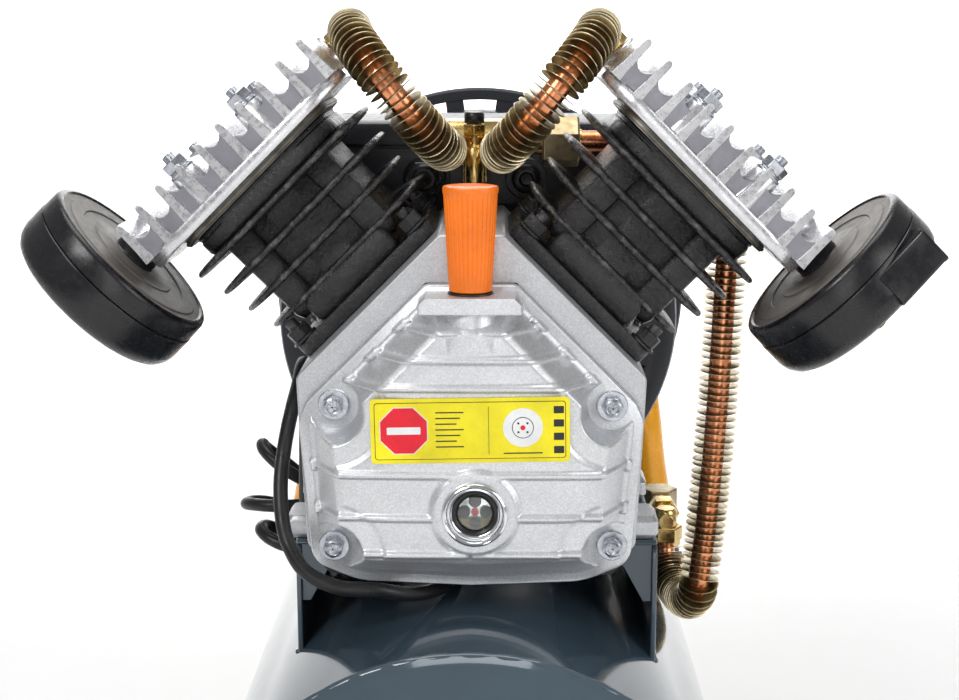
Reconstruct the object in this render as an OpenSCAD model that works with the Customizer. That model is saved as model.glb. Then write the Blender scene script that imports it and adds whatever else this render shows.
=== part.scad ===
// V-twin air compressor on a horizontal receiver, direct driven by its own motor.
// Millimetres. +X is right seen from the pump end, +Y runs back to the motor, +Z is up.
// Modules work about the crank axis at the cover joint; placed() sets them on the floor.

/* [Crankcase] */
// Height of the crank axis above the floor
crank_h = 464; // [460:1:480]
// Depth of the crankcase behind the cover
case_depth = 140; // [136:1:150]
// Distance of the cylinder seats from the crank axis
seat_r = 78; // [76:1:80]
// Half width of the crankcase and its cover
case_half_w = 91; // [90:1:92]
// Lowest point of the cover below the crank axis
cover_drop = 96; // [94:1:98]
// How far the cover stands out from its joint
cover_rise = 34; // [30:1:36]
// Thickness of the cover's bolted flange
flange_t = 8; // [6:1:10]

/* [Cylinders and heads] */
// Bore of each cylinder
bore_d = 47; // [44:1:50]
// Crank throw, half the stroke
throw = 19; // [17:1:20]
// Length of each connecting rod between centres
rod_len = 125; // [124:1:126]
// How far each cylinder stands in front of or behind their common middle
bank_offset = 7; // [7:0.5:9]
// Middle of the two cylinders behind the cover joint
bank_y = 75; // [72:1:78]
// Number of fins round each barrel
barrel_fins = 4; // [3:1:4]
// Half width of the widest barrel fin
fin_half = 66; // [62:1:67]
// Top of the barrel, where the valve plate lies
barrel_top = 166; // [164:1:168]
// Length of the cylinder head across the engine
head_len = 152; // [148:1:154]
// Depth of the cylinder head
head_depth = 104; // [100:1:106]
// Height of the cylinder head from the valve plate to its fins
head_h = 32; // [30:1:34]
// Number of cooling fins on each head
head_fins = 10; // [8:1:10]

/* [Inlet filters] */
// Diameter of the filter housings
filter_d = 112; // [106:1:114]
// Thickness of the filter housings
filter_t = 39; // [36:1:40]

/* [Motor] */
// Radius of the motor's body
motor_r = 84; // [80:1:85]
// Length of the motor's body
motor_len = 184; // [180:1:188]
// Radius of the fan cowl
cowl_r = 137; // [132:1:140]
// Radius of the slotted guard ring round the back of the cowl
guard_r = 153; // [148:1:156]
// Radius of the cooling fan
fan_r = 98; // [92:1:99]
// Width of the capacitor box
box_w = 206; // [200:2:212]
// Depth of the capacitor box
box_d = 104; // [100:2:110]
// Height of the capacitor box
box_h = 55; // [52:1:58]

/* [Receiver] */
// Outer radius of the receiver
tank_r = 150; // [148:1:150]
// Length of the receiver's straight shell
tank_len = 610; // [600:5:620]
// Depth of each dished end
dish = 75; // [70:1:78]
// Wall thickness of the receiver
tank_wall = 3; // [2.5:0.5:4]

/* [Running gear] */
// Diameter of the wheels
wheel_d = 200; // [190:2:204]
// Width of the tyres
tyre_w = 42; // [38:1:44]
// Diameter of the push handle's tube
handle_d = 30; // [28:1:32]

/* [Pipework] */
// Outer diameter of the copper pipe
pipe_d = 13; // [12:0.5:14]
// Outer diameter of the pipe's cooling fins
pipe_fin_d = 25; // [23:1:26]
// Radius of the hairpin bend between a head and the manifold
hairpin_r = 42; // [40:1:43]

/* [Hidden] */
$fn = 64;

gasket_t = 1;
case_y = gasket_t;                        // front of the crankcase
case_back = case_y + case_depth;
rail_top = -79;                           // underside of the crankcase and motor feet
rail_x = 98.5;                            // webs of the saddle from their own middle
rail_mid = 2.5;                           // the saddle sits a little to the right
rail_t = 3;
rail_front = 20;
rail_back = 316;
tank_front = -70;                         // front seam of the receiver
tank_z = -259;                            // axis of the receiver
tank_back = tank_front + tank_len;
tank_clear = tank_r + 0.3;                // skirts of the pieces that sit on the receiver
floor_z = -crank_h;
handle_y = 635;                           // bar of the push handle
handle_z = 62;
grip_r = handle_d / 2 + 5;
model_mid_y = (tank_front - dish + handle_y + grip_r) / 2;
SIDES = [-1, 1];

bore_r = bore_d / 2;
barrel_r = bore_r + 12;
base_half = 51;                           // base and top flanges of a barrel
base_t = 9;
base_y_half = 47;
fin_first = 102.5;
fin_pitch = 16.4;
fin_step = 3;                             // each fin is this much shorter than the one above
fin_y_less = 14;                          // and this much shorter along the crank
fin_t = 3.6;
plate_t = 4;                              // valve plate
head_z = barrel_top + plate_t;            // underside of the head
head_inner = 74.6;                        // end of the head beside the hairpin
head_plate_t = 9;
head_core_h = 22;
head_fin_pitch = 15.6;
head_bolt_x = 25;
head_bolt_y = 38;
filter_z = 187;                           // filter axis, from the crank
filter_x = 87.5;                          // inner face of the filter, from the cylinder axis
neck_r = 12.8;

cover_front = -cover_rise;
plug_y = -16;
plug_seat = 63.5;
bolt_spots = [[-72.2, 4.8], [74.2, 4.4], [-73.2, -72.6], [75.2, -72]];
sight_z = -47;
sight_x = 2.4;

motor_y = case_back;
cowl_y = motor_y + motor_len;
shaft_r = 12;
box_x = 4;
box_y = 156;
box_z = 87;
port_z = 108;                             // gland and reset button on the box
gland_x = -31;
button_x = 31;

cowl_front = box_y + box_d + 4;
cowl_back = 393;
manifold_z = 131.5;
line_y = 138;                             // discharge pipe behind the right cylinder
riser_y = 200;
check_x = 125;
check_y = 246;
switch_y = 470;
outlet_y = 520;
wheel_y = -10;
wheel_x = 194;
wheel_z = floor_z + wheel_d / 2;
foot_y = 470;
foot_x = 105;

module sided(s) if (s < 0) mirror([1, 0, 0]) children(); else children();
module placed() translate([0, -model_mid_y, crank_h]) children();
// Frame of one cylinder: +Z along its axis, +X outwards and down, Y along the crank
module bank(side) {
    translate([0, bank_y - side * bank_offset, 0])
        if (side < 0) mirror([1, 0, 0]) rotate([0, 45, 0]) children();
        else rotate([0, 45, 0]) children();
}
module along_y(y0, y1, r, r2 = 0) translate([0, y0, 0]) rotate([-90, 0, 0])
    cylinder(h = y1 - y0, r1 = r, r2 = r2 > 0 ? r2 : r);
module along_x(x0, x1, r) translate([x0, 0, 0]) rotate([0, 90, 0]) cylinder(h = x1 - x0, r = r);
// Box from its lowest to its highest corner
module block(a, b) translate(a) cube(b - a);
// Upright slab with rounded corners: half sizes in X and Y
module slab(hx, hy, z0, z1, r) translate([0, 0, z0]) linear_extrude(z1 - z0) rounded(hx, hy, r);
module rounded(hx, hy, r) {
    square([2 * hx, 2 * (hy - r)], center = true);
    square([2 * (hx - r), 2 * hy], center = true);
    for (x = SIDES, y = SIDES) translate([x * (hx - r), y * (hy - r)]) circle(r);
}
module hexagon(af, h) cylinder(h = h, r = af / sqrt(3), $fn = 6);
module upright(y0, y1) translate([0, y1, 0]) rotate([90, 0, 0]) linear_extrude(y1 - y0) children();

// ---- swept tube through a list of points ----
function unit(v) = v / norm(v);
function reversed(P) = [for (i = [len(P) - 1:-1:0]) P[i]];
function tangent(P, i) = unit(P[min(i + 1, len(P) - 1)] - P[max(i - 1, 0)]);
function square_to(n, t) = unit(n - (n * t) * t);
function normals(P, n, i = 0) = i == len(P) ? [] :
    let(m = square_to(n, tangent(P, i))) concat([m], normals(P, m, i + 1));
function ring(p, t, n, r, m) = [for (k = [0:m - 1])
    p + r * (cos(360 * k / m) * n + sin(360 * k / m) * cross(t, n))];
module swept_tube(P, r, m, start) {
    N = normals(P, start);
    last = (len(P) - 1) * m;
    polyhedron(
        points = [for (i = [0:len(P) - 1]) each ring(P[i], tangent(P, i), N[i], r, m)],
        faces = concat([[for (k = [0:m - 1]) k]], [[for (k = [m - 1:-1:0]) last + k]],
            [for (i = [0:len(P) - 2], k = [0:m - 1])
                [i * m + k, (i + 1) * m + k, (i + 1) * m + (k + 1) % m, i * m + (k + 1) % m]]));
}
// Point of a Catmull-Rom curve through four points
function spline_point(a, b, c, d, s) = 0.5 * (2 * b + (c - a) * s + (2 * a - 5 * b + 4 * c - d) * s * s
    + (3 * b - 3 * c + d - a) * s * s * s);
function smooth(P, n) = concat([for (i = [0:len(P) - 2], k = [0:n - 1])
    spline_point(P[max(i - 1, 0)], P[i], P[i + 1], P[min(i + 2, len(P) - 1)], k / n)], [P[len(P) - 1]]);
function arc(c, u, v, r, a0, a1, n) = [for (k = [0:n]) let(a = a0 + (a1 - a0) * k / n)
    c + r * (cos(a) * u + sin(a) * v)];
// A cooling fin round a pipe
module pipe_fin(p, t, n = 1.2) {
    a = acos(t[2]);
    translate(p) rotate([0, a, atan2(t[1], t[0])]) difference() {
        cylinder(h = n, d = pipe_fin_d, center = true, $fn = 32);
        cylinder(h = 3 * n, d = pipe_d + 0.4, center = true, $fn = 32);
    }
}

// ---- receiver and running gear ----
function dish_r() = (tank_r * tank_r + dish * dish) / (2 * dish);
function dish_arc(d) = let(R = dish_r() - d, c = dish_r() - dish, top = acos(c / R))
    [for (k = [0:14]) let(a = top * (1 - k / 14)) [R * sin(a), R * cos(a) - c]];
module dished_end() rotate_extrude() polygon(concat(dish_arc(0), reversed(dish_arc(tank_wall))));
module tank_ends() placed() color("slategray") {
    translate([0, tank_front, tank_z]) rotate([90, 0, 0]) dished_end();
    translate([0, tank_back, tank_z]) rotate([-90, 0, 0]) dished_end();
}
bungs = [[check_x, check_y, 20.5], [0, switch_y, 8]];    // where each stands and its height
function bung_top(b) = tank_z + sqrt(tank_r * tank_r - b[0] * b[0]) + b[2];
module tank_shell() placed() color("slategray") {
    difference() {
        union() {
            translate([0, 0, tank_z]) along_y(tank_front, tank_back, tank_r);
            for (b = bungs) translate([b[0], b[1], tank_z])
                cylinder(h = bung_top(b) - tank_z, r = 15);
            translate([0, 300, tank_z - tank_r - 6]) cylinder(h = 60, r = 13);
        }
        translate([0, 0, tank_z]) along_y(tank_front - 1, tank_back + 1, tank_r - tank_wall);
        for (b = bungs) translate([b[0], b[1], tank_z]) cylinder(h = 200, r = 9);
        translate([0, 300, tank_z - 200]) cylinder(h = 150, r = 6.6);
    }
}
flange_half = 15.5;
module rail_web(s, half, z0)
    block([rail_mid + s * rail_x - half, rail_front, z0], [rail_mid + s * rail_x + half, rail_back, rail_top]);
module rail_flange(s, z0, z1, y1) translate([rail_mid + s * (rail_x + rail_t / 2 - flange_half), 0, 0])
    block([-flange_half, rail_front, z0], [flange_half, y1, z1]);
module saddle_rails() placed() color("slategray") for (s = SIDES) difference() {
    union() {
        rail_web(s, rail_t / 2, tank_z);
        rail_flange(s, rail_top - rail_t, rail_top, rail_back);
    }
    translate([0, 0, tank_z]) along_y(0, 400, tank_clear);
}
module chassis_brackets() placed() color("slategray") {
    for (s = SIDES) difference() {
        block([s * 138 - 28, wheel_y - 30, wheel_z - 22], [s * 138 + 28, wheel_y + 30, wheel_z + 48]);
        translate([0, 0, tank_z]) along_y(-100, 100, tank_clear);
        block([s * 132 - 28, wheel_y - 26, wheel_z - 30], [s * 132 + 28, wheel_y + 26, wheel_z + 60]);
        translate([0, wheel_y, wheel_z]) along_x(-200, 200, 8.2);
    }
    difference() {
        block([-120, foot_y - 20, floor_z + 22], [120, foot_y + 20, tank_z - 90]);
        block([-116, foot_y - 16, floor_z + 26], [116, foot_y + 16, tank_z]);
        translate([0, 0, tank_z]) along_y(foot_y - 30, foot_y + 30, tank_clear);
    }
}
module rubber_feet() placed() color("black") for (s = SIDES)
    translate([s * foot_x, foot_y, floor_z]) cylinder(h = 22, r1 = 18, r2 = 16);
module axle_bolts() placed() color("silver") for (s = SIDES) sided(s)
    translate([0, wheel_y, wheel_z]) {
        translate([148, 0, 0]) rotate([0, 90, 0]) hexagon(24, 12);
        along_x(160, wheel_x + tyre_w / 2 + 14, 8);
        translate([wheel_x + tyre_w / 2 + 2, 0, 0]) rotate([0, 90, 0]) hexagon(24, 9);
    }
module wheel_hub(s) placed() color("black") translate([s * wheel_x, wheel_y, wheel_z]) difference() {
    union() {
        along_x(-tyre_w / 2 - 1, tyre_w / 2 + 1, 17);
        along_x(-3, 3, wheel_d / 2 - 30);
        rotate([0, 90, 0]) difference() {
            cylinder(h = tyre_w - 8, r = wheel_d / 2 - 28, center = true);
            cylinder(h = tyre_w, r = wheel_d / 2 - 34, center = true);
        }
    }
    along_x(-60, 60, 8.06);
    for (a = [0:72:359]) rotate([a, 0, 0]) translate([0, 42, 0]) along_x(-10, 10, 13);
}
module tyre(s) placed() color("dimgray") translate([s * wheel_x, wheel_y, wheel_z])
    rotate([0, 90, 0]) rotate_extrude() difference() {
        translate([wheel_d / 2 - 28, -tyre_w / 2]) square([28, tyre_w]);
        for (c = SIDES) translate([wheel_d / 2, c * tyre_w / 2]) circle(8, $fn = 4);
    }
module left_wheel_hub() wheel_hub(-1);
module right_wheel_hub() wheel_hub(1);
module left_tyre() tyre(-1);
module right_tyre() tyre(1);
// Push handle: from the receiver's side up to the middle of its bar
handle_leg = [[160, 562, -264], [156, 562, -232], [152, 562, -213], [146.5, 562, -180], [142, 562, -141],
    [136, 570, -95], [128, 592, -35], [119, 614, 18], [104, 630, 50], [84, handle_y, handle_z],
    [68, handle_y, handle_z]];
function flipped(P) = [for (p = reversed(P)) [-p[0], p[1], p[2]]];
module push_handle() placed() color("orange") {
    swept_tube(smooth(concat(handle_leg, flipped(handle_leg)), 3), handle_d / 2, 12, [0, 1, 0]);
    for (s = SIDES) sided(s) block([tank_clear, 500, -266], [tank_clear + 6, 562, -240]);
}
module handle_grip() placed() color("black") translate([0, handle_y, handle_z]) difference() {
    along_x(-60, 60, grip_r);
    along_x(-70, 70, handle_d / 2 + 0.1);
}

// ---- crankcase ----
// Right half of the cover's outline, from the neck round to the bottom
half_outline = [[24, 68], [case_half_w - 4, 5], [case_half_w, -4], [case_half_w - 6, -82], [76, -91],
    [30, -cover_drop + 1]];
cover_outline = concat(half_outline, [for (p = reversed(half_outline)) [-p[0], p[1]]]);
// Right half of the crankcase's outline: its top, the cylinder seat and its side
seat_end = base_half + 3;
case_half = [[(seat_r - seat_end) / sqrt(2), (seat_r + seat_end) / sqrt(2)],
    [(seat_r + seat_end) / sqrt(2), (seat_r - seat_end) / sqrt(2)],
    [case_half_w + 1, -10], [case_half_w - 4, rail_top]];
case_outline = concat(case_half, [for (p = reversed(case_half)) [-p[0], p[1]]]);
case_inner = [[8, 86], [80, 12], [82, -8], [78, -70], [-78, -70], [-82, -8], [-80, 12], [-8, 86]];
module crankcase() placed() color("lightgray") difference() {
    union() {
        upright(case_y, case_y + 12) polygon(cover_outline);
        upright(case_y, case_back) polygon(case_outline);
    }
    upright(case_y - 1, case_back - 10) polygon(case_inner);
    for (s = SIDES) bank(s) cylinder(h = 100, r = bore_r + 2);
    along_y(case_back - 20, case_back + 10, 26);
    for (b = bolt_spots) translate([b[0], 0, b[1]]) along_y(0, 30, 3.2);
}
module cover_gasket() placed() color("dimgray") difference() {
    upright(0, gasket_t) polygon(cover_outline);
    upright(-1, 2) offset(delta = -9) polygon(cover_outline);
    for (b = bolt_spots) translate([b[0], 0, b[1]]) along_y(-1, 3, 5);
}
module front_cover() placed() color("silver") difference() {
    union() {
        upright(-flange_t, 0) polygon(cover_outline);
        hull() {
            upright(-flange_t - 1, -flange_t) offset(delta = -5) polygon(cover_outline);
            upright(cover_front, cover_front + 1) offset(delta = -18) polygon(cover_outline);
        }
        translate([0, plug_y, 30]) cylinder(h = plug_seat - 30, r = 15);
        translate([sight_x, 0, sight_z]) along_y(cover_front - 2, -10, 21);
    }
    hull() {
        upright(-flange_t, 0.5) offset(delta = -12) polygon(cover_outline);
        upright(cover_front + 5, cover_front + 6) offset(delta = -25) polygon(cover_outline);
    }
    for (b = bolt_spots) translate([b[0], 0, b[1]]) {
        along_y(-60, -flange_t, 11);
        along_y(-20, 10, 3.2);
    }
    translate([sight_x, 0, sight_z]) along_y(-60, 0, 14);
    translate([0, plug_y, 20]) cylinder(h = 100, r = 9);
    translate([0, plug_y, plug_seat]) cylinder(h = 20, r = 14);
}
module cover_bolts() placed() color("silver") for (b = bolt_spots) translate([b[0], 0, b[1]]) {
    along_y(-flange_t - 2, -flange_t, 8);
    translate([0, -flange_t - 2, 0]) rotate([90, 0, 0]) hexagon(10, 5);
    along_y(-flange_t, 12, 3);
}
label_half = [51, 17];
module label_plate() placed() color("gold")
    block([-label_half[0], cover_front - 0.6, -3 - label_half[1]],
        [label_half[0], cover_front, -3 + label_half[1]]);
module sight_glass_ring() placed() color("silver") translate([sight_x, 0, sight_z]) difference() {
    union() {
        along_y(cover_front - 6, cover_front - 2, 17);
        along_y(cover_front - 2, cover_front + 8, 13.9);
    }
    along_y(-60, 0, 10.5);
}
module sight_glass_lens() placed() color("lightyellow") translate([sight_x, 0, sight_z])
    along_y(cover_front - 4, cover_front, 10.4);
module oil_plug() placed() color("darkorange") translate([0, plug_y, plug_seat]) {
    difference() {
        translate([0, 0, 2.5]) cylinder(h = 54, r1 = 11.3, r2 = 14.3);
        for (a = [0:30:359]) rotate([0, 0, a + 15]) block([13.2, -1.2, 8], [20, 1.2, 70]);
    }
    cylinder(h = 2.5, r = 13);
    translate([0, 0, -14]) cylinder(h = 14, r = 8.7);
}

// ---- cylinders ----
function fin_half_at(i) = fin_half - fin_step * (barrel_fins - 1 - i);
module cylinder_casting() color("dimgray") difference() {
    union() {
        slab(base_half, base_y_half, seat_r, seat_r + base_t, 12);
        translate([0, 0, seat_r]) cylinder(h = barrel_top - seat_r, r = barrel_r);
        for (i = [0:barrel_fins - 1])
            slab(fin_half_at(i), fin_half_at(i) - fin_y_less, fin_first + i * fin_pitch - fin_t / 2,
                fin_first + i * fin_pitch + fin_t / 2, 20);
        slab(50, 47, barrel_top - 10, barrel_top, 14);
        for (x = SIDES, y = SIDES) translate([x * 31, y * 31, seat_r]) cylinder(h = 80, r = 7);
    }
    cylinder(h = 200, r = bore_r);
}
module left_cylinder() placed() bank(-1) cylinder_casting();
module right_cylinder() placed() bank(1) cylinder_casting();
module cylinder_nuts() placed() color("black") for (s = SIDES) bank(s)
    for (x = SIDES, y = SIDES) translate([x * 44, y * 40, seat_r + base_t]) {
        cylinder(h = 1.5, r = 7.5);
        hexagon(11, 8);
        cylinder(h = 12, r = 3);
    }
module valve_plates() placed() color("darkkhaki") for (s = SIDES) bank(s)
    difference() {
        slab(54, 48, barrel_top, head_z, 12);
        for (x = SIDES) translate([x * 12, 0, 100]) cylinder(h = 100, r = 4);
    }
module head_casting() color("silver") difference() {
    union() {
        slab(head_len / 2, head_depth / 2, head_z, head_z + head_plate_t, 14);
        slab(head_len / 2 - 5, head_depth / 2 - 4, head_z, head_z + head_core_h, 10);
        for (i = [0:head_fins - 1]) translate([(i - (head_fins - 1) / 2) * head_fin_pitch, 0, 0])
            block([-1.8, -head_depth / 2 + 1, head_z], [1.8, head_depth / 2 - 1, head_z + head_h]);
        for (x = SIDES, y = SIDES) translate([x * head_bolt_x, y * head_bolt_y, head_z])
            cylinder(h = head_h - 6, r = 8);
        translate([0, 0, filter_z]) along_x(head_len / 2 - 10, head_len / 2, 14);
        translate([0, 0, filter_z]) along_x(-head_len / 2, -head_len / 2 + 10, 11);
    }
    block([-62, -40, head_z - 1], [-4, 40, head_z + 12]);
    block([4, -40, head_z - 1], [62, 40, head_z + 12]);
    block([-head_len, -head_depth, head_z - 1], [-head_inner, head_depth, head_z + 60]);
    for (x = SIDES, y = SIDES) translate([x * head_bolt_x, y * head_bolt_y, head_z + head_h - 6])
        cylinder(h = 20, r = 8.6);
}
module left_head() placed() bank(-1) head_casting();
module right_head() placed() bank(1) head_casting();
module head_bolts() placed() color("silver") for (s = SIDES) bank(s)
    for (x = SIDES, y = SIDES) translate([x * head_bolt_x, y * head_bolt_y, head_z + head_h - 6])
        rotate([0, 0, 15]) {
            cylinder(h = 1.5, r = 8);
            hexagon(13, 8);
            cylinder(h = 13, r = 3.6);
        }

// ---- running parts: the crankpin stands straight up, so both pistons are at one height ----
pin_along = throw * cos(45);
pin_rod_z = pin_along + sqrt(rod_len * rod_len - pin_along * pin_along);
rod_tilt = asin(pin_along / rod_len);
module pistons() placed() color("silver") for (s = SIDES) bank(s) {
    difference() {
        translate([0, 0, pin_rod_z - 14]) cylinder(h = 36, r = bore_r - 0.05);
        translate([0, 0, pin_rod_z - 15]) cylinder(h = 31, r = bore_r - 4);
        for (g = [8, 13, 19]) translate([0, 0, pin_rod_z + g]) difference() {
            cylinder(h = 2, r = bore_r + 1);
            cylinder(h = 5, r = bore_r - 2, center = true);
        }
    }
    translate([0, 0, pin_rod_z]) along_y(-19, 19, 6);
}
module con_rods() placed() color("lightgray") for (s = SIDES) bank(s)
    translate([-pin_along, 0, pin_along]) rotate([0, rod_tilt, 0]) difference() {
        union() {
            along_y(-6, 6, 17);
            block([-6, -4, 10], [6, 4, rod_len - 8]);
            translate([0, 0, rod_len]) along_y(-6, 6, 11);
        }
        along_y(-8, 8, 11);
        translate([0, 0, rod_len]) along_y(-8, 8, 6.05);
    }
module crank_web() placed() color("gray") {
    translate([0, 0, throw]) along_y(bank_y - bank_offset - 8, bank_y + bank_offset + 8, 10.95);
    difference() {
        union() {
            upright(bank_y + bank_offset + 8, case_back - 36) polygon([[-17, 30], [17, 30], [40, -22],
                [24, -44], [-24, -44], [-40, -22]]);
            along_y(case_back - 36, case_back - 28, 16);
        }
        along_y(case_back - 46, case_back, shaft_r + 0.5);
    }
}
module main_bearing() placed() color("silver") difference() {
    along_y(case_back - 14, case_back, 26);
    along_y(case_back - 20, case_back + 1, shaft_r + 0.05);
}

// ---- motor ----
motor_ribs = 36;
module motor_housing() placed() color("lightgray") difference() {
    union() {
        along_y(motor_y, cowl_y, motor_r - 7);
        for (y = [motor_y, cowl_y - 12]) along_y(y, y + 12, motor_r);
        for (i = [0:motor_ribs - 1]) rotate([0, i * 360 / motor_ribs, 0])
            block([-1.2, motor_y, motor_r - 10], [1.2, cowl_y, motor_r]);
        for (s = SIDES, y = [motor_y + 14, cowl_y - 44])
            block([s * 62 - 22, y, rail_top], [s * 62 + 22, y + 30, -40]);
        translate([box_x, 0, 0]) block([-46, box_y + 12, 60], [46, box_y + box_d - 12, box_z]);
    }
    along_y(motor_y - 1, cowl_y + 1, motor_r - 12);
}
module stator() placed() color("sienna") difference() {
    along_y(motor_y + 30, cowl_y - 30, motor_r - 12);
    along_y(motor_y, cowl_y, 46);
}
module rotor() placed() color("gray") {
    along_y(case_back - 45, cowl_y + 20, shaft_r);
    along_y(motor_y + 35, cowl_y - 35, 45.4);
}
fan_blades = 7;
module cooling_fan() placed() color("black") difference() {
    union() {
        along_y(cowl_y + 12, cowl_y + 40, 24);
        for (i = [0:fan_blades - 1]) rotate([0, i * 360 / fan_blades, 0])
            translate([0, cowl_y + 26, 0]) rotate([0, 0, 30])
                block([-16, -1.5, 20], [16, 1.5, fan_r]);
    }
    along_y(cowl_y, cowl_y + 20.5, shaft_r + 0.05);
}
slots = 24;
// Slots round the crank axis, in a wall between y0 and y1
module slot_ring(half, y0, y1, r0, r1) for (i = [0:slots - 1]) rotate([0, i * 360 / slots, 0])
    block([-half, y0 - 1, r0], [half, y1 + 1, r1]);
module fan_cowl() placed() color("black") difference() {
    union() {
        along_y(cowl_front, cowl_back, cowl_r);
        along_y(cowl_back - 12, cowl_back, guard_r);
    }
    along_y(cowl_front + 3, cowl_back - 4, cowl_r - 3);
    along_y(cowl_front - 1, cowl_front + 4, motor_r + 0.3);
    slot_ring(3, cowl_front, cowl_front + 3, motor_r + 14, cowl_r - 12);
    slot_ring(4, cowl_back - 4, cowl_back, 34, cowl_r - 12);
    slot_ring(12, cowl_back - 12, cowl_back, cowl_r + 2.5, cowl_r + 7.5);
    // cut away over the receiver, the rails and the lead
    translate([0, 0, tank_z]) along_y(cowl_front - 1, cowl_back + 1, tank_clear);
    for (s = SIDES) {
        rail_web(s, rail_t, -guard_r);
        rail_flange(s, rail_top - 2 * rail_t, rail_top + 1, rail_back + 2);
    }
    block([-12, cowl_front - 1, -115], [3, cowl_back + 1, -99]);
}
module terminal_box() placed() color([0.12, 0.13, 0.16]) translate([box_x, box_y, box_z]) difference() {
    translate([0, box_d / 2, 0]) slab(box_w / 2, box_d / 2, 0, box_h, 8);
    block([-box_w / 2 + 3, 3, 3], [box_w / 2 - 3, box_d - 3, box_h - 3]);
    translate([gland_x - box_x, 0, port_z - box_z]) along_y(-2, 6, 7);
    translate([button_x - box_x, 0, port_z - box_z]) along_y(-2, 6, 8.3);
}
gland_nose = 10;
module cable_gland() placed() color("black") translate([gland_x, box_y, port_z]) difference() {
    union() {
        along_y(-3, 0, 13);
        along_y(0, 8, 6.9);
        along_y(-gland_nose, -3, 8, 11);
    }
    along_y(-20, 10, 4.4);
}
button_travel = 2.5;
module reset_button() placed() color("black") translate([button_x, box_y, port_z]) {
    along_y(-9, -button_travel - 0.3, 9);
    along_y(-3, 8, 8);
}

// ---- inlet filters ----
module inlet_pipes() placed() color("black") for (s = SIDES) bank(s) translate([0, 0, filter_z])
    difference() {
        along_x(head_len / 2, filter_x, neck_r);
        along_x(head_len / 2 - 1, filter_x + 1, 9);
    }
case_t = 13;
module filter_cases() placed() color("black") for (s = SIDES) bank(s) translate([filter_x, 0, filter_z])
    difference() {
        along_x(0, case_t, filter_d / 2 - 1);
        along_x(3, case_t + 1, filter_d / 2 - 4);
        along_x(-1, 4, 9);
    }
// Air inlet duct, tangent to the right filter's rim
duct_turn = 76;
duct_len = 36;
duct_w = 24;
duct_top = filter_d / 2 + 1;
duct_low = duct_top - 19;
module filter_covers() placed() color("black") for (s = SIDES) bank(s)
    translate([filter_x + case_t, 0, filter_z]) {
        difference() {
            along_x(0, filter_t - case_t, filter_d / 2);
            along_x(-1, filter_t - case_t - 3, filter_d / 2 - 3);
            along_x(0, 60, 3.3);
            if (s > 0) rotate([duct_turn, 0, 0]) block([5, 8, duct_low + 3], [duct_w - 3, 60, duct_top - 3]);
        }
        if (s > 0) difference() {
            rotate([duct_turn, 0, 0]) block([2, 0, duct_low], [duct_w, duct_len, duct_top]);
            rotate([duct_turn, 0, 0]) block([5, 8, duct_low + 3], [duct_w - 3, 60, duct_top - 3]);
            along_x(-1, 60, filter_d / 2 - 3);
        }
    }
module filter_elements() placed() color("wheat") for (s = SIDES) bank(s)
    translate([filter_x, 0, filter_z]) difference() {
        along_x(4, filter_t - 4, 40);
        along_x(0, filter_t, 22);
    }
module filter_studs() placed() color("goldenrod") for (s = SIDES) bank(s)
    translate([filter_x, 0, filter_z]) {
        along_x(4, filter_t + 13.5, 3);
        translate([filter_t, 0, 0]) rotate([0, 90, 0]) hexagon(8, 5);
    }

// ---- pipework ----
// Hairpin from the head's inner end towards the viewer and back to the manifold
hairpin_top = [-90.5, 4, filter_z + 1];
hairpin_low = [-81.5, 4, hairpin_top[2] - 2 * hairpin_r];
elbow_y = 28;                             // brass elbow behind the hairpin's upper end
hairpin_back = 12;                        // straight ends of the hairpin
hairpin = concat([hairpin_top + [0, hairpin_back, 0]],
    arc((hairpin_top + hairpin_low) / 2, unit(hairpin_top - hairpin_low), [0, -1, 0], hairpin_r, 0, 180, 24),
    [hairpin_low + [0, hairpin_back, 0]]);
module hairpin_tube() swept_tube(hairpin, pipe_d / 2, 12, [1, 0, 0]);
module left_tube() placed() color("chocolate") bank(-1) hairpin_tube();
module right_tube() placed() color("chocolate") bank(1) hairpin_tube();
// Discharge pipe: right from the manifold, down behind the right cylinder, up to the check valve
line_low = [139.5, 130, -138];
riser_low = -138;
line_bend = 22;
bend_r = 24;
function line_u(k) = let(a = 180 * k / 12) [(line_low[0] + check_x) / 2 + (line_low[0] - check_x) / 2 * cos(a),
    (line_low[1] + riser_y) / 2 + (line_low[1] - riser_y) / 2 * cos(a), line_low[2] - bend_r * sin(a)];
discharge = concat([[62.3, line_y, manifold_z], [95, line_y, manifold_z]],
    arc([129, line_y, manifold_z - line_bend], [0, 0, 1], [1, 0, 0], line_bend, 0, 90, 6),
    [[152, 137, 63], [149, 136, -23], [146.5, 134, -64], [143, 132, -108]], [for (k = [0:12]) line_u(k)],
    [[check_x, riser_y, riser_low + 2]]);
module discharge_tube() placed() color("chocolate") swept_tube(discharge, pipe_d / 2, 12, [1, 1, 0.3]);
module fins_along(P, gap) for (i = [0:len(P) - 2]) {
    span = norm(P[i + 1] - P[i]);
    count = max(1, round(span / gap));
    for (k = [0:count - 1]) pipe_fin(P[i] + (P[i + 1] - P[i]) * (k + 0.5) / count, unit(P[i + 1] - P[i]));
}
module tube_fins() placed() color("darkkhaki") {
    for (s = SIDES) bank(s) fins_along([for (i = [1:len(hairpin) - 2]) hairpin[i]], 5);
    fins_along([for (i = [1:len(discharge) - 2]) discharge[i]], 8);
}
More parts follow.
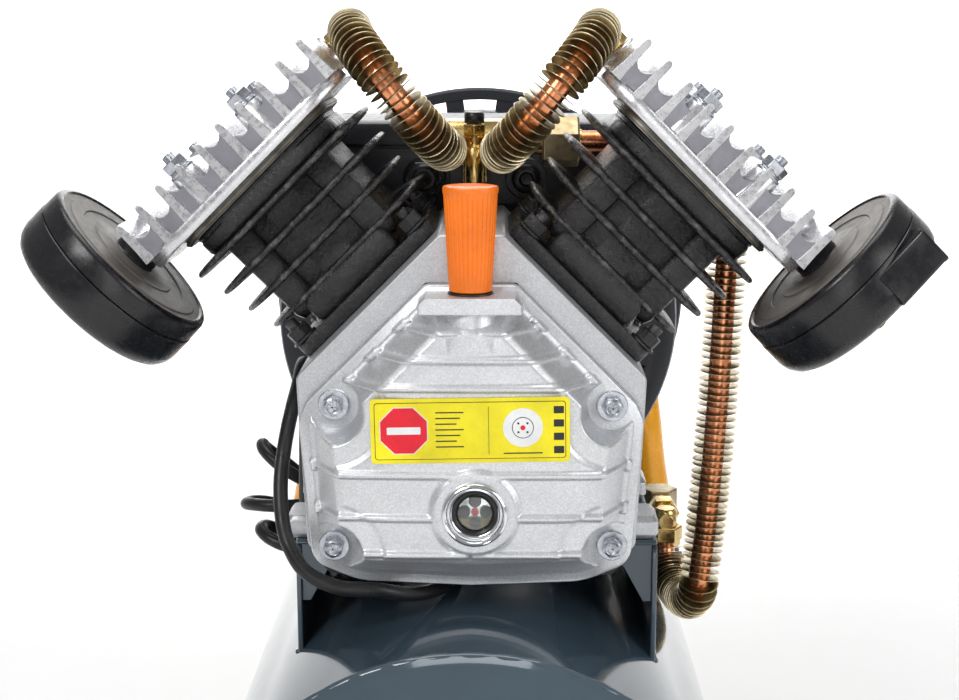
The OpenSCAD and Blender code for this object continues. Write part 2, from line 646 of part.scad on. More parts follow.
// Brass elbows, nuts and the manifold that joins both hairpins to the discharge pipe
elbow_z = -122;                           // elbow between the riser and the check valve
nut_len = 12;
manifold_front = 122;
manifold_back = 148;
valve_y = 114;
valve_foot = manifold_z - 22;             // top of the foot that carries the safety valve
module pipe_fittings() placed() color("goldenrod") {
    for (s = SIDES) bank(s) {
        translate([0, elbow_y, hairpin_top[2]]) along_x(hairpin_top[0] - 9, -head_inner - 0.1, 9);
        translate(hairpin_top + [0, hairpin_back + 0.1, 0]) rotate([-90, 0, 0]) hexagon(18, nut_len);
        translate(hairpin_low + [0, hairpin_back + 0.1, 0]) rotate([-90, 0, 0]) hexagon(18, nut_len);
        translate(hairpin_low + [0, hairpin_back, 0])
            along_y(nut_len, manifold_front - bank_y + s * bank_offset - hairpin_low[1] - hairpin_back, 7.5);
    }
    block([-30, manifold_front, manifold_z - 13], [30, manifold_back, manifold_z + 13]);
    block([-7, valve_y - 8, valve_foot - 5], [7, manifold_back, valve_foot]);
    block([-7, manifold_front, valve_foot - 5], [7, manifold_back, manifold_z]);
    translate([30, line_y, manifold_z]) rotate([0, 90, 0]) cylinder(h = 10, r = 8.5);
    translate([40, line_y, manifold_z]) rotate([0, 90, 0]) rotate([0, 0, 10]) hexagon(27, 22);
    translate([check_x, riser_y, riser_low + 2.1]) hexagon(20, 10);
    translate([check_x, riser_y, riser_low + 10]) cylinder(h = elbow_z - riser_low - 2, r = 7.5);
    translate([check_x, 0, elbow_z]) along_y(riser_y, check_y - 11.1, 7);
}
module safety_valve() placed() color("goldenrod") translate([0, valve_y, valve_foot]) {
    cylinder(h = 27, r = 6.2);
    translate([0, 0, 27]) rotate([0, 0, 30]) hexagon(12.4, 7);
}
module safety_cap() placed() color("black") translate([0, valve_y, valve_foot + 34.3])
    cylinder(h = 6.5, r = 5.9);
module check_valve() placed() color("goldenrod") translate([check_x, check_y, bung_top(bungs[0])]) {
    translate([0, 0, -10]) cylinder(h = 10, r = 8.9);
    hexagon(27, 12);
    translate([0, 0, 12]) cylinder(h = 12, r = 11);
    translate([0, 0, 24]) hexagon(22, 18);
}

// ---- controls at the back of the receiver ----
switch_base = tank_z + tank_r + 8;
module pressure_switch() placed() color("black") translate([0, switch_y, switch_base]) {
    translate([0, 0, -12]) cylinder(h = 12, r = 8.9);
    cylinder(h = 14, r = 10);
    difference() {
        translate([0, 0, 14]) slab(32, 36, 0, 76, 8);
        translate([0, 0, 80]) cylinder(h = 20, r = 7.4);
    }
}
module switch_knob() placed() color("red") translate([0, switch_y, switch_base + 90.4]) {
    cylinder(h = 12, r = 14);
    translate([0, 0, -9.4]) cylinder(h = 10, r = 7);
}
regulator_x = 52;
regulator_z = switch_base + 28;
module air_outlet() placed() color("goldenrod") translate([0, switch_y, regulator_z]) {
    along_x(32, regulator_x - 10, 7);
    translate([regulator_x, 0, 0]) {
        block([-14, -14, -14], [14, 14, 16]);
        along_x(14, 22, 9);
        along_x(22, 38, 6.6);
        translate([0, 0, 16]) cylinder(h = 8, r = 13);
        along_y(14, 20, 5);
        difference() {
            along_y(20, 42, 20);
            along_y(38, 43, 18);
        }
    }
}
module regulator_knob() placed() color("black") translate([regulator_x, switch_y, regulator_z + 24.3])
    difference() {
        cylinder(h = 24, r1 = 16, r2 = 14);
        for (a = [0:30:359]) rotate([0, 0, a + 15]) block([14.6, -1.5, -1], [20, 1.5, 30]);
    }
module gauge_needle() placed() color("black") translate([regulator_x, switch_y + 38.4, regulator_z])
    rotate([0, 45, 0]) {
        along_y(0, 1.6, 2);
        block([-0.6, 0.4, -4], [0.6, 1.2, 15]);
    }
module drain_valve() placed() color("goldenrod") translate([0, 300, tank_z - tank_r - 6]) {
    translate([0, 0, -6]) hexagon(17, 6);
    cylinder(h = 14, r = 6.5);
    translate([0, 0, -14]) cylinder(h = 8, r = 6);
}
module drain_tap() placed() color("goldenrod") translate([0, 300, tank_z - tank_r - 20.3]) {
    translate([0, 0, -8]) cylinder(h = 8, r = 5);
    block([-14, -2, -12], [14, 2, -3]);
}

// ---- wiring: from the motor's box down beside the motor, where its slack hangs in three loops, then
// forward past the left cylinder, under the cover and back between the rails to the switch ----
lead_d = 8;
lead_down = [[gland_x, box_y - 2, port_z], [gland_x, 147, port_z], [-34, 141, 106.5], [-43, 138.3, 101],
    [-62, 140, 86], [-84, 148, 60], [-93, 160, 30], [-97, 175, 0], [-100, 184, -27], [-101.6, 183, -55],
    [-102, 175, -74]];
// Each loop of the slack: its middle in X, its radius, its middle in Z and its tilt
slack = [[-118.5, 16.5, -73, 12], [-124, 22, -103, 3], [-120, 17, -128, 12]];
slack_y = 160;
loop_points = 12;
function slack_at(u) = let(v = min(max(u - 0.5, 0), len(slack) - 1), i = min(floor(v), len(slack) - 2))
    slack[i] + (slack[i + 1] - slack[i]) * (v - i);
lead_loops = [for (i = [0:loop_points * len(slack)]) let(u = i / loop_points, t = slack_at(u))
    [t[0] + t[1] * cos(360 * u), slack_y - t[1] * sin(360 * u), t[2] - t[3] * cos(360 * u)]];
lead_front = [[-103.5, 140, -137], [-103, 122, -118], [-102.4, 110, -85], [-100.4, 100, -45], [-98.5, 90, -8],
    [-97.4, 78, 8], [-97.4, 66, 9], [-98.2, 50, 1], [-99.7, 32, -9], [-101.5, 14, -24], [-102.5, 2, -42],
    [-100.5, -8, -60], [-96, -15, -72], [-87, -19.5, -84], [-70, -20.5, -92], [-50, -18.5, -94],
    [-34, -9.5, -99.6], [-21, 6, -103]];
lead_back = [[-12, 30, -104.3], [-9, 70, -104.5], [-8, 140, -104.5], [-6, 240, -104.5], [-4, 340, -104.5],
    [-2, 400, -103], [-1, 418, -92], [0, 427, -79], [0, 433.4, -78]];
lead_route = concat(lead_down, lead_loops, lead_front, lead_back);
module motor_lead() placed() color("black")
    swept_tube(smooth(lead_route, 2), lead_d / 2, 8, [0.2, 0.3, 1]);

tank_shell();
tank_ends();
saddle_rails();
chassis_brackets();
rubber_feet();
axle_bolts();
left_wheel_hub();
left_tyre();
right_wheel_hub();
right_tyre();
push_handle();
handle_grip();
crankcase();
cover_gasket();
front_cover();
cover_bolts();
label_plate();
sight_glass_ring();
sight_glass_lens();
oil_plug();
left_cylinder();
right_cylinder();
cylinder_nuts();
valve_plates();
left_head();
right_head();
head_bolts();
pistons();
con_rods();
crank_web();
main_bearing();
motor_housing();
stator();
rotor();
cooling_fan();
fan_cowl();
terminal_box();
cable_gland();
reset_button();
inlet_pipes();
filter_cases();
filter_covers();
filter_elements();
filter_studs();
left_tube();
right_tube();
discharge_tube();
tube_fins();
pipe_fittings();
safety_valve();
safety_cap();
check_valve();
pressure_switch();
switch_knob();
air_outlet();
regulator_knob();
gauge_needle();
drain_valve();
drain_tap();
motor_lead();
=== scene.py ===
import math
import random

import bmesh
import bpy
from mathutils import Matrix, Vector, noise


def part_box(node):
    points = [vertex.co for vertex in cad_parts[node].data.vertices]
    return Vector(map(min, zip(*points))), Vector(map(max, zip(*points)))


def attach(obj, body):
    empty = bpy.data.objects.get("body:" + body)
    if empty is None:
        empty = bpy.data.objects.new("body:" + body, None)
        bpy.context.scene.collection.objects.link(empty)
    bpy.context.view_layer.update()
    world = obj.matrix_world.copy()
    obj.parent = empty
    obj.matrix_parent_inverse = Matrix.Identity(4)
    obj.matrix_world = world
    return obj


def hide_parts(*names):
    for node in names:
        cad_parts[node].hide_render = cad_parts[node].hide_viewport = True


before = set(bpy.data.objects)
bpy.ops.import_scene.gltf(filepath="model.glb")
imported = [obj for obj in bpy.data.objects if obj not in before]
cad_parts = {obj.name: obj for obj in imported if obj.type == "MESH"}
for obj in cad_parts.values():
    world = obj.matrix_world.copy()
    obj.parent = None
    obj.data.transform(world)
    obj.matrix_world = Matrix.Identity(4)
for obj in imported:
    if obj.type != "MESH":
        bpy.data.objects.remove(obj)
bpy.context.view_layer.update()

# A V-twin air compressor on a wheeled receiver. Shapes are worked out in millimetres about the crank
# axis at the cover joint, as the CAD is, and PLACE sets them down in the frame's metres.

BODY = "compressor"
SIDES = (-1, 1)
SIDE_NAME = {-1: "left", 1: "right"}
CORNERS = [(x, y) for x in SIDES for y in SIDES]
X, Y, Z = Vector((1, 0, 0)), Vector((0, 1, 0)), Vector((0, 0, 1))


def middle(node):
    low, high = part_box(node)
    return (low + high) / 2


CRANK = Vector((0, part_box("cover_gasket")[0].y, middle("main_bearing").z))
PLACE = Matrix.Translation(CRANK) @ Matrix.Scale(0.001, 4)
UNPLACE = PLACE.inverted()
HERE = Matrix.Identity(4)


def box_mm(node):
    """Lowest and highest corner of a CAD node, in millimetres about the crank."""
    low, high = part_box(node)
    return UNPLACE @ low, UNPLACE @ high


def centre_mm(node):
    low, high = box_mm(node)
    return (low + high) / 2


def shift(x, y, z):
    return Matrix.Translation((x, y, z))


def turn(degrees, axis):
    return Matrix.Rotation(math.radians(degrees), 4, axis)


def aimed(direction):
    """Turns +Z to a direction."""
    return Vector(direction).to_track_quat("Z", "Y").to_matrix().to_4x4()


BANK_Y = {side: centre_mm(SIDE_NAME[side] + "_head").y for side in SIDES}


def bank(side):
    """One cylinder's frame: +Z along its axis, +X outwards and down, Y along the crank."""
    flip = Matrix.Scale(-1, 4, X) if side < 0 else HERE
    return shift(0, BANK_Y[side], 0) @ flip @ turn(45, "Y")


SIDEWAYS = Matrix(((0, 0, 1, 0), (1, 0, 0, 0), (0, 1, 0, 0), (0, 0, 0, 1)))   # outlines in Y and Z
UPRIGHT = turn(90, "X")                # outlines in X and Z, pushed towards the viewer
ALONG_CRANK = turn(-90, "X")           # +Z of a lathe runs back along the crank


def polar(radius, angle):
    return radius * math.cos(angle), radius * math.sin(angle)


def add_object(name, data):
    made = bpy.data.objects.new(name, data)
    bpy.context.scene.collection.objects.link(made)
    return made


# ---------------------------------------------------------------- materials


class Nodes:
    """A material's node tree, with its Principled shader and a few shorthands."""

    def __init__(self, name, color, roughness, metallic=0.0, **sockets):
        self.material = bpy.data.materials.new(name)
        self.material.use_nodes = True
        self.tree = self.material.node_tree
        self.shader = self.tree.nodes["Principled BSDF"]
        self.set("Base Color", (*color, 1.0))
        self.set("Roughness", roughness)
        self.set("Metallic", metallic)
        for socket, value in sockets.items():
            self.set(socket.replace("_", " "), value)
        self.place = self.node("ShaderNodeTexCoord").outputs["Object"]

    def set(self, socket, value):
        self.shader.inputs[socket].default_value = value

    def node(self, kind, **properties):
        made = self.tree.nodes.new(kind)
        for key, value in properties.items():
            setattr(made, key, value)
        return made

    def link(self, source, target):
        self.tree.links.new(source, target)

    def noise(self, scale, detail=4.0, rough=0.55, stretch=None):
        made = self.node("ShaderNodeTexNoise")
        made.inputs["Scale"].default_value = scale
        made.inputs["Detail"].default_value = detail
        made.inputs["Roughness"].default_value = rough
        source = self.place
        if stretch:
            mapping = self.node("ShaderNodeMapping")
            mapping.inputs["Scale"].default_value = stretch
            self.link(source, mapping.inputs["Vector"])
            source = mapping.outputs["Vector"]
        self.link(source, made.inputs["Vector"])
        return made.outputs["Fac"]

    def cells(self, scale):
        made = self.node("ShaderNodeTexVoronoi")
        made.inputs["Scale"].default_value = scale
        self.link(self.place, made.inputs["Vector"])
        return made.outputs

    def ramp(self, source, stops):
        made = self.node("ShaderNodeValToRGB")
        elements = made.color_ramp.elements
        while len(elements) < len(stops):
            elements.new(0.5)
        for element, (position, color) in zip(elements, stops):
            element.position = position
            element.color = (*color, 1.0) if len(color) == 3 else color
        self.link(source, made.inputs["Fac"])
        return made.outputs["Color"]

    def grey(self, source, low, high, a=0.3, b=0.7):
        return self.ramp(source, [(a, (low,) * 3), (b, (high,) * 3)])

    def mix(self, factor, a, b, blend="MIX"):
        made = self.node("ShaderNodeMix", data_type="RGBA", blend_type=blend)
        inputs = [s for s in made.inputs if s.enabled]
        for socket, value in zip(inputs, (factor, a, b)):
            if isinstance(value, (tuple, float)):
                socket.default_value = value
            else:
                self.link(value, socket)
        return [s for s in made.outputs if s.enabled][0]

    def mottle(self, base, dark, light, scale, detail):
        """Base colour that drifts between a darker and a lighter tone of itself."""
        tones = [(0.3, tuple(c * dark for c in base)), (0.7, tuple(c * light for c in base))]
        self.color(self.ramp(self.noise(scale, detail), tones))

    def color(self, source):
        self.link(source, self.shader.inputs["Base Color"])

    def roughness(self, source):
        self.link(source, self.shader.inputs["Roughness"])

    def bump(self, source, strength, distance, previous=None):
        made = self.node("ShaderNodeBump")
        made.inputs["Strength"].default_value = strength
        made.inputs["Distance"].default_value = distance
        self.link(source, made.inputs["Height"])
        if previous:
            self.link(previous, made.inputs["Normal"])
        self.link(made.outputs["Normal"], self.shader.inputs["Normal"])
        return made.outputs["Normal"]


def cast_silver(name, base, fleck, rough):
    """Silver paint over a casting: fine metallic flecks under a satin surface."""
    n = Nodes(name, base, rough, 0.75)
    flecks = n.cells(1500)["Color"]
    tone = n.ramp(flecks, [(0.25, tuple(c * (1 - fleck) for c in base)), (0.6, base),
                           (0.85, tuple(min(1, c * (1 + fleck)) for c in base))])
    cloud = n.grey(n.noise(30), 0.9, 1.0)
    n.color(n.mix(1.0, tone, cloud, "MULTIPLY"))
    n.roughness(n.grey(n.noise(700), rough - 0.07, rough + 0.1))
    first = n.bump(n.noise(1400, 3), 0.12, 0.0003)
    n.bump(n.noise(90), 0.06, 0.001, first)
    return n.material


def bright_aluminium(name, base=(0.86, 0.86, 0.88), rough=0.3):
    n = Nodes(name, base, rough, 0.9)
    n.color(n.ramp(n.noise(45, 6), [(0.3, tuple(c * 0.8 for c in base)), (0.65, base)]))
    n.roughness(n.grey(n.noise(400), rough - 0.06, rough + 0.14))
    first = n.bump(n.noise(1100, 3), 0.18, 0.0003)
    n.bump(n.noise(60), 0.15, 0.0012, first)
    return n.material


def black_casting(name, wear=0.0):
    """Thick black enamel on sand-cast iron; wear lets grey metal through on the fins' edges."""
    n = Nodes(name, (0.02, 0.02, 0.022), 0.38, 0.1, Specular_IOR_Level=0.6)
    dark = n.ramp(n.noise(120, 8, 0.7), [(0.35, (0.005, 0.005, 0.006)), (0.7, (0.020, 0.020, 0.022))])
    if wear:
        patches = n.grey(n.noise(160, 8, 0.75), 0.0, 1.0, 0.62 - wear * 0.4, 0.7)
        dark = n.mix(patches, dark, (0.15, 0.145, 0.14, 1.0))
    n.color(dark)
    n.roughness(n.grey(n.noise(260, 6), 0.16, 0.48))
    first = n.bump(n.noise(420, 6, 0.65), 0.75, 0.0011)
    n.bump(n.noise(80, 3), 0.35, 0.0025, first)
    return n.material


def plastic(name, base, rough, grain=900, bump=0.12, spec=0.5):
    n = Nodes(name, base, rough, 0.0, Specular_IOR_Level=spec)
    n.mottle(base, 0.78, 1.12, 35, 5)
    n.roughness(n.grey(n.noise(220, 5), max(0.05, rough - 0.07), rough + 0.1))
    n.bump(n.noise(grain, 3), bump, 0.0003)
    return n.material


def enamel(name, base, rough=0.1, coat=0.8):
    """Glossy sprayed enamel with faint orange peel."""
    n = Nodes(name, base, rough, 0.15, Coat_Weight=coat, Coat_Roughness=0.05)
    n.mottle(base, 0.86, 1.08, 9, 4)
    n.roughness(n.grey(n.noise(50, 4), rough, rough + 0.08))
    n.bump(n.noise(260, 2), 0.05, 0.0006)
    return n.material


def metal(name, base, rough, fine=900, tint=None, scratch=None):
    n = Nodes(name, base, rough, 1.0)
    second = tint or tuple(c * 0.72 for c in base)
    n.color(n.ramp(n.noise(110, 7, 0.65), [(0.3, second), (0.68, base)]))
    n.roughness(n.grey(n.noise(300, 5), max(0.04, rough - 0.08), rough + 0.14))
    n.bump(n.noise(fine, 3, 0.6, scratch), 0.1, 0.0003)
    return n.material


def rubber(name, base=(0.018, 0.018, 0.019), rough=0.55):
    n = Nodes(name, base, rough, 0.0, Specular_IOR_Level=0.4)
    n.mottle(base, 0.7, 1.5, 60, 6)
    n.roughness(n.grey(n.noise(180), rough - 0.08, rough + 0.15))
    n.bump(n.noise(700, 4), 0.2, 0.0004)
    return n.material


def clear_glass(name, tint):
    n = Nodes(name, tint, 0.03, 0.0, Transmission_Weight=0.95, IOR=1.45)
    n.roughness(n.grey(n.noise(120), 0.02, 0.07))
    return n.material


M = {
    "cover": cast_silver("cover_silver", (0.74, 0.75, 0.77), 0.10, 0.38),
    "case": cast_silver("crankcase_silver", (0.60, 0.61, 0.63), 0.10, 0.40),
    "head": bright_aluminium("head_aluminium", (0.80, 0.80, 0.82), 0.26),
    # darker copy of the head aluminium for the valleys between the fins: painted shade
    "head_valley_painted_shade": bright_aluminium("head_aluminium_painted_shade", (0.34, 0.34, 0.37), 0.36),
    "iron": black_casting("black_iron"),
    "worn": black_casting("black_iron_worn", 0.35),
    "box": plastic("box_plastic", (0.016, 0.018, 0.025), 0.34),
    "filter": plastic("filter_plastic", (0.010, 0.010, 0.012), 0.24),
    "filter_face": plastic("filter_inner_face", (0.17, 0.155, 0.14), 0.5, 400, 0.3),
    "black": plastic("black_plastic", (0.012, 0.012, 0.014), 0.3),
    "orange": plastic("orange_plastic", (1.0, 0.21, 0.008), 0.32, 500),
    "red": plastic("red_plastic", (0.62, 0.01, 0.012), 0.28),
    "amber": enamel("amber_enamel", (1.0, 0.42, 0.0), 0.22, 0.5),
    "tank": enamel("slate_enamel", (0.050, 0.078, 0.104)),
    # lighter copy of the slate enamel for the dished ends: painted light, as the ends carry the same paint
    # as the shell
    "tank_end": enamel("slate_enamel_end_painted_light", (0.070, 0.104, 0.132)),
    "rubber": rubber("rubber"),
    "tyre": rubber("tyre_rubber", (0.022, 0.022, 0.023), 0.7),
    "lead": rubber("lead_sheath", (0.012, 0.012, 0.013), 0.33),
    "copper": metal("copper", (0.93, 0.42, 0.22), 0.2, 500, (0.72, 0.22, 0.09)),
    "fin": metal("fin_brass", (0.42, 0.33, 0.165), 0.34, 700, (0.22, 0.165, 0.075)),
    # brighter copy of the fin brass for the fins' rims: painted highlight
    "fin_rim_painted_highlight": metal("fin_brass_painted_highlight", (0.80, 0.70, 0.48), 0.28),
    "brass": metal("brass", (0.80, 0.60, 0.26), 0.2, 800, (0.55, 0.36, 0.12)),
    "dull_brass": metal("dull_brass", (0.50, 0.42, 0.26), 0.34, 800, (0.33, 0.25, 0.13)),
    "zinc": metal("zinc_plate", (0.62, 0.64, 0.68), 0.24, 900, (0.36, 0.38, 0.42)),
    "chrome": metal("chrome_plate", (0.86, 0.87, 0.90), 0.07, 300, (0.80, 0.81, 0.84)),
    "steel": metal("machined_steel", (0.50, 0.50, 0.51), 0.3, 900, None, (1, 30, 1)),
    "plate": metal("valve_plate_steel", (0.22, 0.21, 0.18), 0.42, 600, (0.09, 0.085, 0.07)),
    "winding": metal("winding_copper", (0.55, 0.22, 0.09), 0.4, 400, None, (1, 8, 1)),
    "yellow": plastic("label_yellow", (0.93, 0.80, 0.0), 0.3, 300, 0.03),
    "label_red": plastic("label_red", (0.80, 0.0, 0.02), 0.3, 300, 0.03),
    "label_white": plastic("label_white", (0.85, 0.86, 0.86), 0.3, 300, 0.03),
    "ink": plastic("label_ink", (0.012, 0.012, 0.012), 0.35, 300, 0.03),
    "oil": plastic("sump_oil", (0.23, 0.17, 0.012), 0.12, 200, 0.02),
    "media": plastic("filter_media", (0.62, 0.52, 0.35), 0.8, 300, 0.5),
    "glass": clear_glass("sight_glass", (0.93, 0.96, 0.93)),
}

# ---------------------------------------------------------------- mesh building


def circle(radius, count=48, start=0.0):
    return [polar(radius, start + math.tau * k / count) for k in range(count)]


def filleted(corners, radius, steps=6):
    """A closed outline with every corner rounded. Radius is one number or one for each corner."""
    points = []
    count = len(corners)
    for i, corner in enumerate(corners):
        r = radius[i] if isinstance(radius, (list, tuple)) else radius
        here = Vector(corner)
        before = (Vector(corners[i - 1]) - here)
        after = (Vector(corners[(i + 1) % count]) - here)
        half = before.angle(after) / 2
        reach = min(r / math.tan(half), before.length * 0.49, after.length * 0.49)
        r = reach * math.tan(half)
        middle_way = (before.normalized() + after.normalized()).normalized()
        centre = here + middle_way * (r / math.sin(half))
        a, b = here + before.normalized() * reach - centre, here + after.normalized() * reach - centre
        for k in range(steps + 1):
            points.append(tuple(centre + a.lerp(b, k / steps).normalized() * r))
    return points


def rounded_box(hx, hy, radius, steps=6):
    return filleted([(hx, -hy), (hx, hy), (-hx, hy), (-hx, -hy)], radius, steps)


def hexagon(across):
    return circle(across / math.sqrt(3), 6)


class Part:
    """One piece. Its faces are gathered in millimetres, each with one of its materials."""

    def __init__(self, name, slot, materials, place=HERE):
        self.name, self.slot, self.place = name, slot, place
        self.materials = [M[m] for m in materials]
        self.bm = bmesh.new()

    def faces(self, points, faces, where=HERE, mat=0):
        where = self.place @ where
        verts = [self.bm.verts.new(where @ Vector(p)) for p in points]
        flipped = where.determinant() < 0
        for i, face in enumerate(faces):
            order = face[::-1] if flipped else face
            made = self.bm.faces.new([verts[k] for k in order])
            made.material_index = mat[i] if isinstance(mat, list) else mat
            made.smooth = True
        return verts

    def loft(self, rings, where=HERE, mat=0, caps=True, loop=False):
        """Joins closed rings of equal length. Rings run anticlockwise seen from the last one."""
        size, count = len(rings[0]), len(rings)
        points = [p for ring in rings for p in ring]
        faces, mats = [], []
        for i in range(count if loop else count - 1):
            for k in range(size):
                a, b = i * size, ((i + 1) % count) * size
                faces.append([a + k, a + (k + 1) % size, b + (k + 1) % size, b + k])
                mats.append(mat[i] if isinstance(mat, list) else mat)
        if caps and not loop:
            faces.append(list(range(size))[::-1])
            faces.append([(count - 1) * size + k for k in range(size)])
            mats += [mats[0], mats[-1]]
        self.faces(points, faces, where, mats)

    def prism(self, outline, z0, z1, where=HERE, edge=0.0, mat=0):
        """An outline pushed from z0 to z1, with its rims chamfered by edge."""
        middle_point = Vector((sum(p[0] for p in outline), sum(p[1] for p in outline))) / len(outline)
        reach = max((Vector(p) - middle_point).length for p in outline)
        inner = [tuple(middle_point + (Vector(p) - middle_point) * (1 - edge / reach)) for p in outline]
        levels = [(outline, z0), (outline, z1)]
        if edge:
            levels = [(inner, z0), (outline, z0 + edge), (outline, z1 - edge), (inner, z1)]
        self.loft([[(x, y, z) for x, y in ring] for ring, z in levels], where, mat)

    def box(self, low, high, where=HERE, edge=0.0, mat=0):
        cx, cy = (low[0] + high[0]) / 2, (low[1] + high[1]) / 2
        hx, hy = (high[0] - low[0]) / 2, (high[1] - low[1]) / 2
        outline = [(hx, -hy), (hx, hy), (-hx, hy), (-hx, -hy)]
        if edge:
            outline = rounded_box(hx, hy, edge, 2)
        self.prism(outline, low[2], high[2], where @ shift(cx, cy, 0), edge, mat)

    def lathe(self, profile, where=HERE, count=64, mat=0, loop=False):
        """Turns a profile of (radius, z) about +Z, from its lower end to its upper one."""
        rings = [[(*polar(r, math.tau * k / count), z) for k in range(count)] for r, z in profile]
        self.loft(rings, where, mat, caps=not loop, loop=loop)

    def stack(self, outline, levels, where=HERE):
        """Lofts one outline through (scale, z) levels."""
        self.loft([[(x * scale, y * scale, z) for x, y in outline] for scale, z in levels], where)

    def case(self, hx, hy, radius, levels, where, steps=6):
        """A rounded box drawn in by the cut at each (z, cut) level."""
        self.loft([[(x, y, z) for x, y in rounded_box(hx - cut, hy - cut, radius, steps)]
                   for z, cut in levels], where)

    def sector(self, profile, start, end, where=HERE, mat=0, count=96):
        """Turns a closed profile about +Z between two angles only, with its ends closed."""
        self.loft([[(*polar(r, a), z) for r, z in reversed(profile)]
                   for a in [math.radians(start + (end - start) * k / count) for k in range(count + 1)]],
                  where, mat)

    def rod(self, a, b, radius, count=24, mat=0):
        a, b = Vector(a), Vector(b)
        self.lathe([(radius, 0), (radius, (b - a).length)], Matrix.Translation(a) @ aimed(b - a), count, mat)

    def nut(self, across, z0, z1, where=HERE, mat=0):
        """A hexagon with its corners turned down at both ends."""
        flat, corner = across / 2, across / math.sqrt(3)
        drop = (corner - flat) * 0.55
        self.prism(hexagon(across), z0, z1, where, drop, mat)

    def tube(self, path, radius, count=16):
        self.loft([[tuple(p + x * normal + y * binormal) for x, y in circle(radius, count)]
                   for p, (normal, binormal) in zip(path, carried(path))])

    def done(self, body=BODY, bevel=0.0, angle=40, replaces=(), segments=2):
        bmesh.ops.remove_doubles(self.bm, verts=self.bm.verts, dist=1e-4)
        bmesh.ops.dissolve_degenerate(self.bm, dist=1e-4, edges=self.bm.edges)
        self.bm.transform(PLACE)
        mesh = bpy.data.meshes.new(self.name)
        self.bm.to_mesh(mesh)
        self.bm.free()
        for material in self.materials:
            mesh.materials.append(material)
        piece = add_object(self.name, mesh)
        if bevel:
            rounding = piece.modifiers.new("edges", "BEVEL")
            rounding.width = bevel / 1000
            rounding.segments = segments
            rounding.limit_method = "ANGLE"
            rounding.angle_limit = math.radians(angle)
            rounding.harden_normals = True
        mesh.shade_smooth()
        mesh.set_sharp_from_angle(angle=math.radians(angle))
        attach(piece, body)
        if replaces:
            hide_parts(*replaces)
        return piece


def carried(path):
    """Normal and binormal at each point of a path, turned as little as possible."""
    frames = []
    normal = None
    for i in range(len(path)):
        tangent = (path[min(i + 1, len(path) - 1)] - path[max(i - 1, 0)]).normalized()
        if normal is None:
            normal = tangent.orthogonal()
        normal = (normal - normal.dot(tangent) * tangent).normalized()
        frames.append((normal, tangent.cross(normal)))
    return frames


def spline(points, steps):
    """Catmull-Rom curve through points."""
    points = [Vector(p) for p in points]
    out = []
    for i in range(len(points) - 1):
        a, b = points[max(i - 1, 0)], points[i]
        c, d = points[i + 1], points[min(i + 2, len(points) - 1)]
        for k in range(steps):
            s = k / steps
            out.append(0.5 * (2 * b + (c - a) * s + (2 * a - 5 * b + 4 * c - d) * s ** 2
                              + (3 * b - 3 * c + d - a) * s ** 3))
    return out + [points[-1]]


def along(path, distance):
    """Point and direction at a distance along a path."""
    for a, b in zip(path, path[1:]):
        length = (b - a).length
        if distance <= length:
            return a.lerp(b, distance / length), (b - a).normalized()
        distance -= length
    return path[-1], (path[-1] - path[-2]).normalized()


def path_length(path):
    return sum((b - a).length for a, b in zip(path, path[1:]))


# ---------------------------------------------------------------- front cover

COVER_LOW, COVER_HIGH = box_mm("front_cover")
COVER_HALF = COVER_HIGH.x
COVER_DROP = -COVER_LOW.z
SIGHT = centre_mm("sight_glass_ring")
PLUG = centre_mm("oil_plug")
PLUG_SEAT = COVER_HIGH.z - 4.5
BOLTS = [(-72.2, 4.8), (74.2, 4.4), (-73.2, -72.6), (75.2, -72)]
COVER_HALF_OUTLINE = [(24, 68), (COVER_HALF - 4, 5), (COVER_HALF, -4), (COVER_HALF - 6, -82), (60, -92.5),
                      (0, -COVER_DROP)]
COVER_RADII = [6, 7, 8, 13, 40, 60]
RIBS = [(47.5, 5), (33, 0), (18.5, 0), (-27.3, 0), (-50.4, 0), (-70.5, 1)]
RIB_HALF = 1.2
RIB_RISE = 2.3


def mirrored_outline(half, radii):
    """Closed outline, anticlockwise, from its right half listed from the top down."""
    left = [(-x, y) for x, y in half if x]
    points = [p for p in reversed(half)] + left
    sizes = list(reversed(radii)) + [r for (x, y), r in zip(half, radii) if x]
    return filleted(points, sizes, 7)


COVER_OUTLINE = mirrored_outline(COVER_HALF_OUTLINE, COVER_RADII)


def inset_of(x, z, outline):
    """Distance from a point to an outline, positive inside."""
    best, inside = 1e9, False
    for (ax, az), (bx, bz) in zip(outline, outline[1:] + outline[:1]):
        dx, dz = bx - ax, bz - az
        span = dx * dx + dz * dz
        s = 0 if span == 0 else max(0, min(1, ((x - ax) * dx + (z - az) * dz) / span))
        best = min(best, (x - ax - s * dx) ** 2 + (z - az - s * dz) ** 2)
        if (az > z) != (bz > z) and x < ax + (z - az) * dx / dz:
            inside = not inside
    return math.sqrt(best) if inside else -math.sqrt(best)


def ramped(value, stops):
    """Straight-line look-up in (value, result) pairs."""
    if value <= stops[0][0]:
        return stops[0][1]
    for (a, fa), (b, fb) in zip(stops, stops[1:]):
        if value <= b:
            return fa + (fb - fa) * (value - a) / (b - a)
    return stops[-1][1]


DOME = [(3.5, 4), (5.0, 8.6), (8.0, 10.5), (18.5, 28.5), (21.5, 30.8), (30, 31.6), (60, 32.2)]
FLANGE = 8.0
POCKET = 12.5                      # radius of the recess round each bolt
LEDGE = 4.0                        # inset where the dome starts


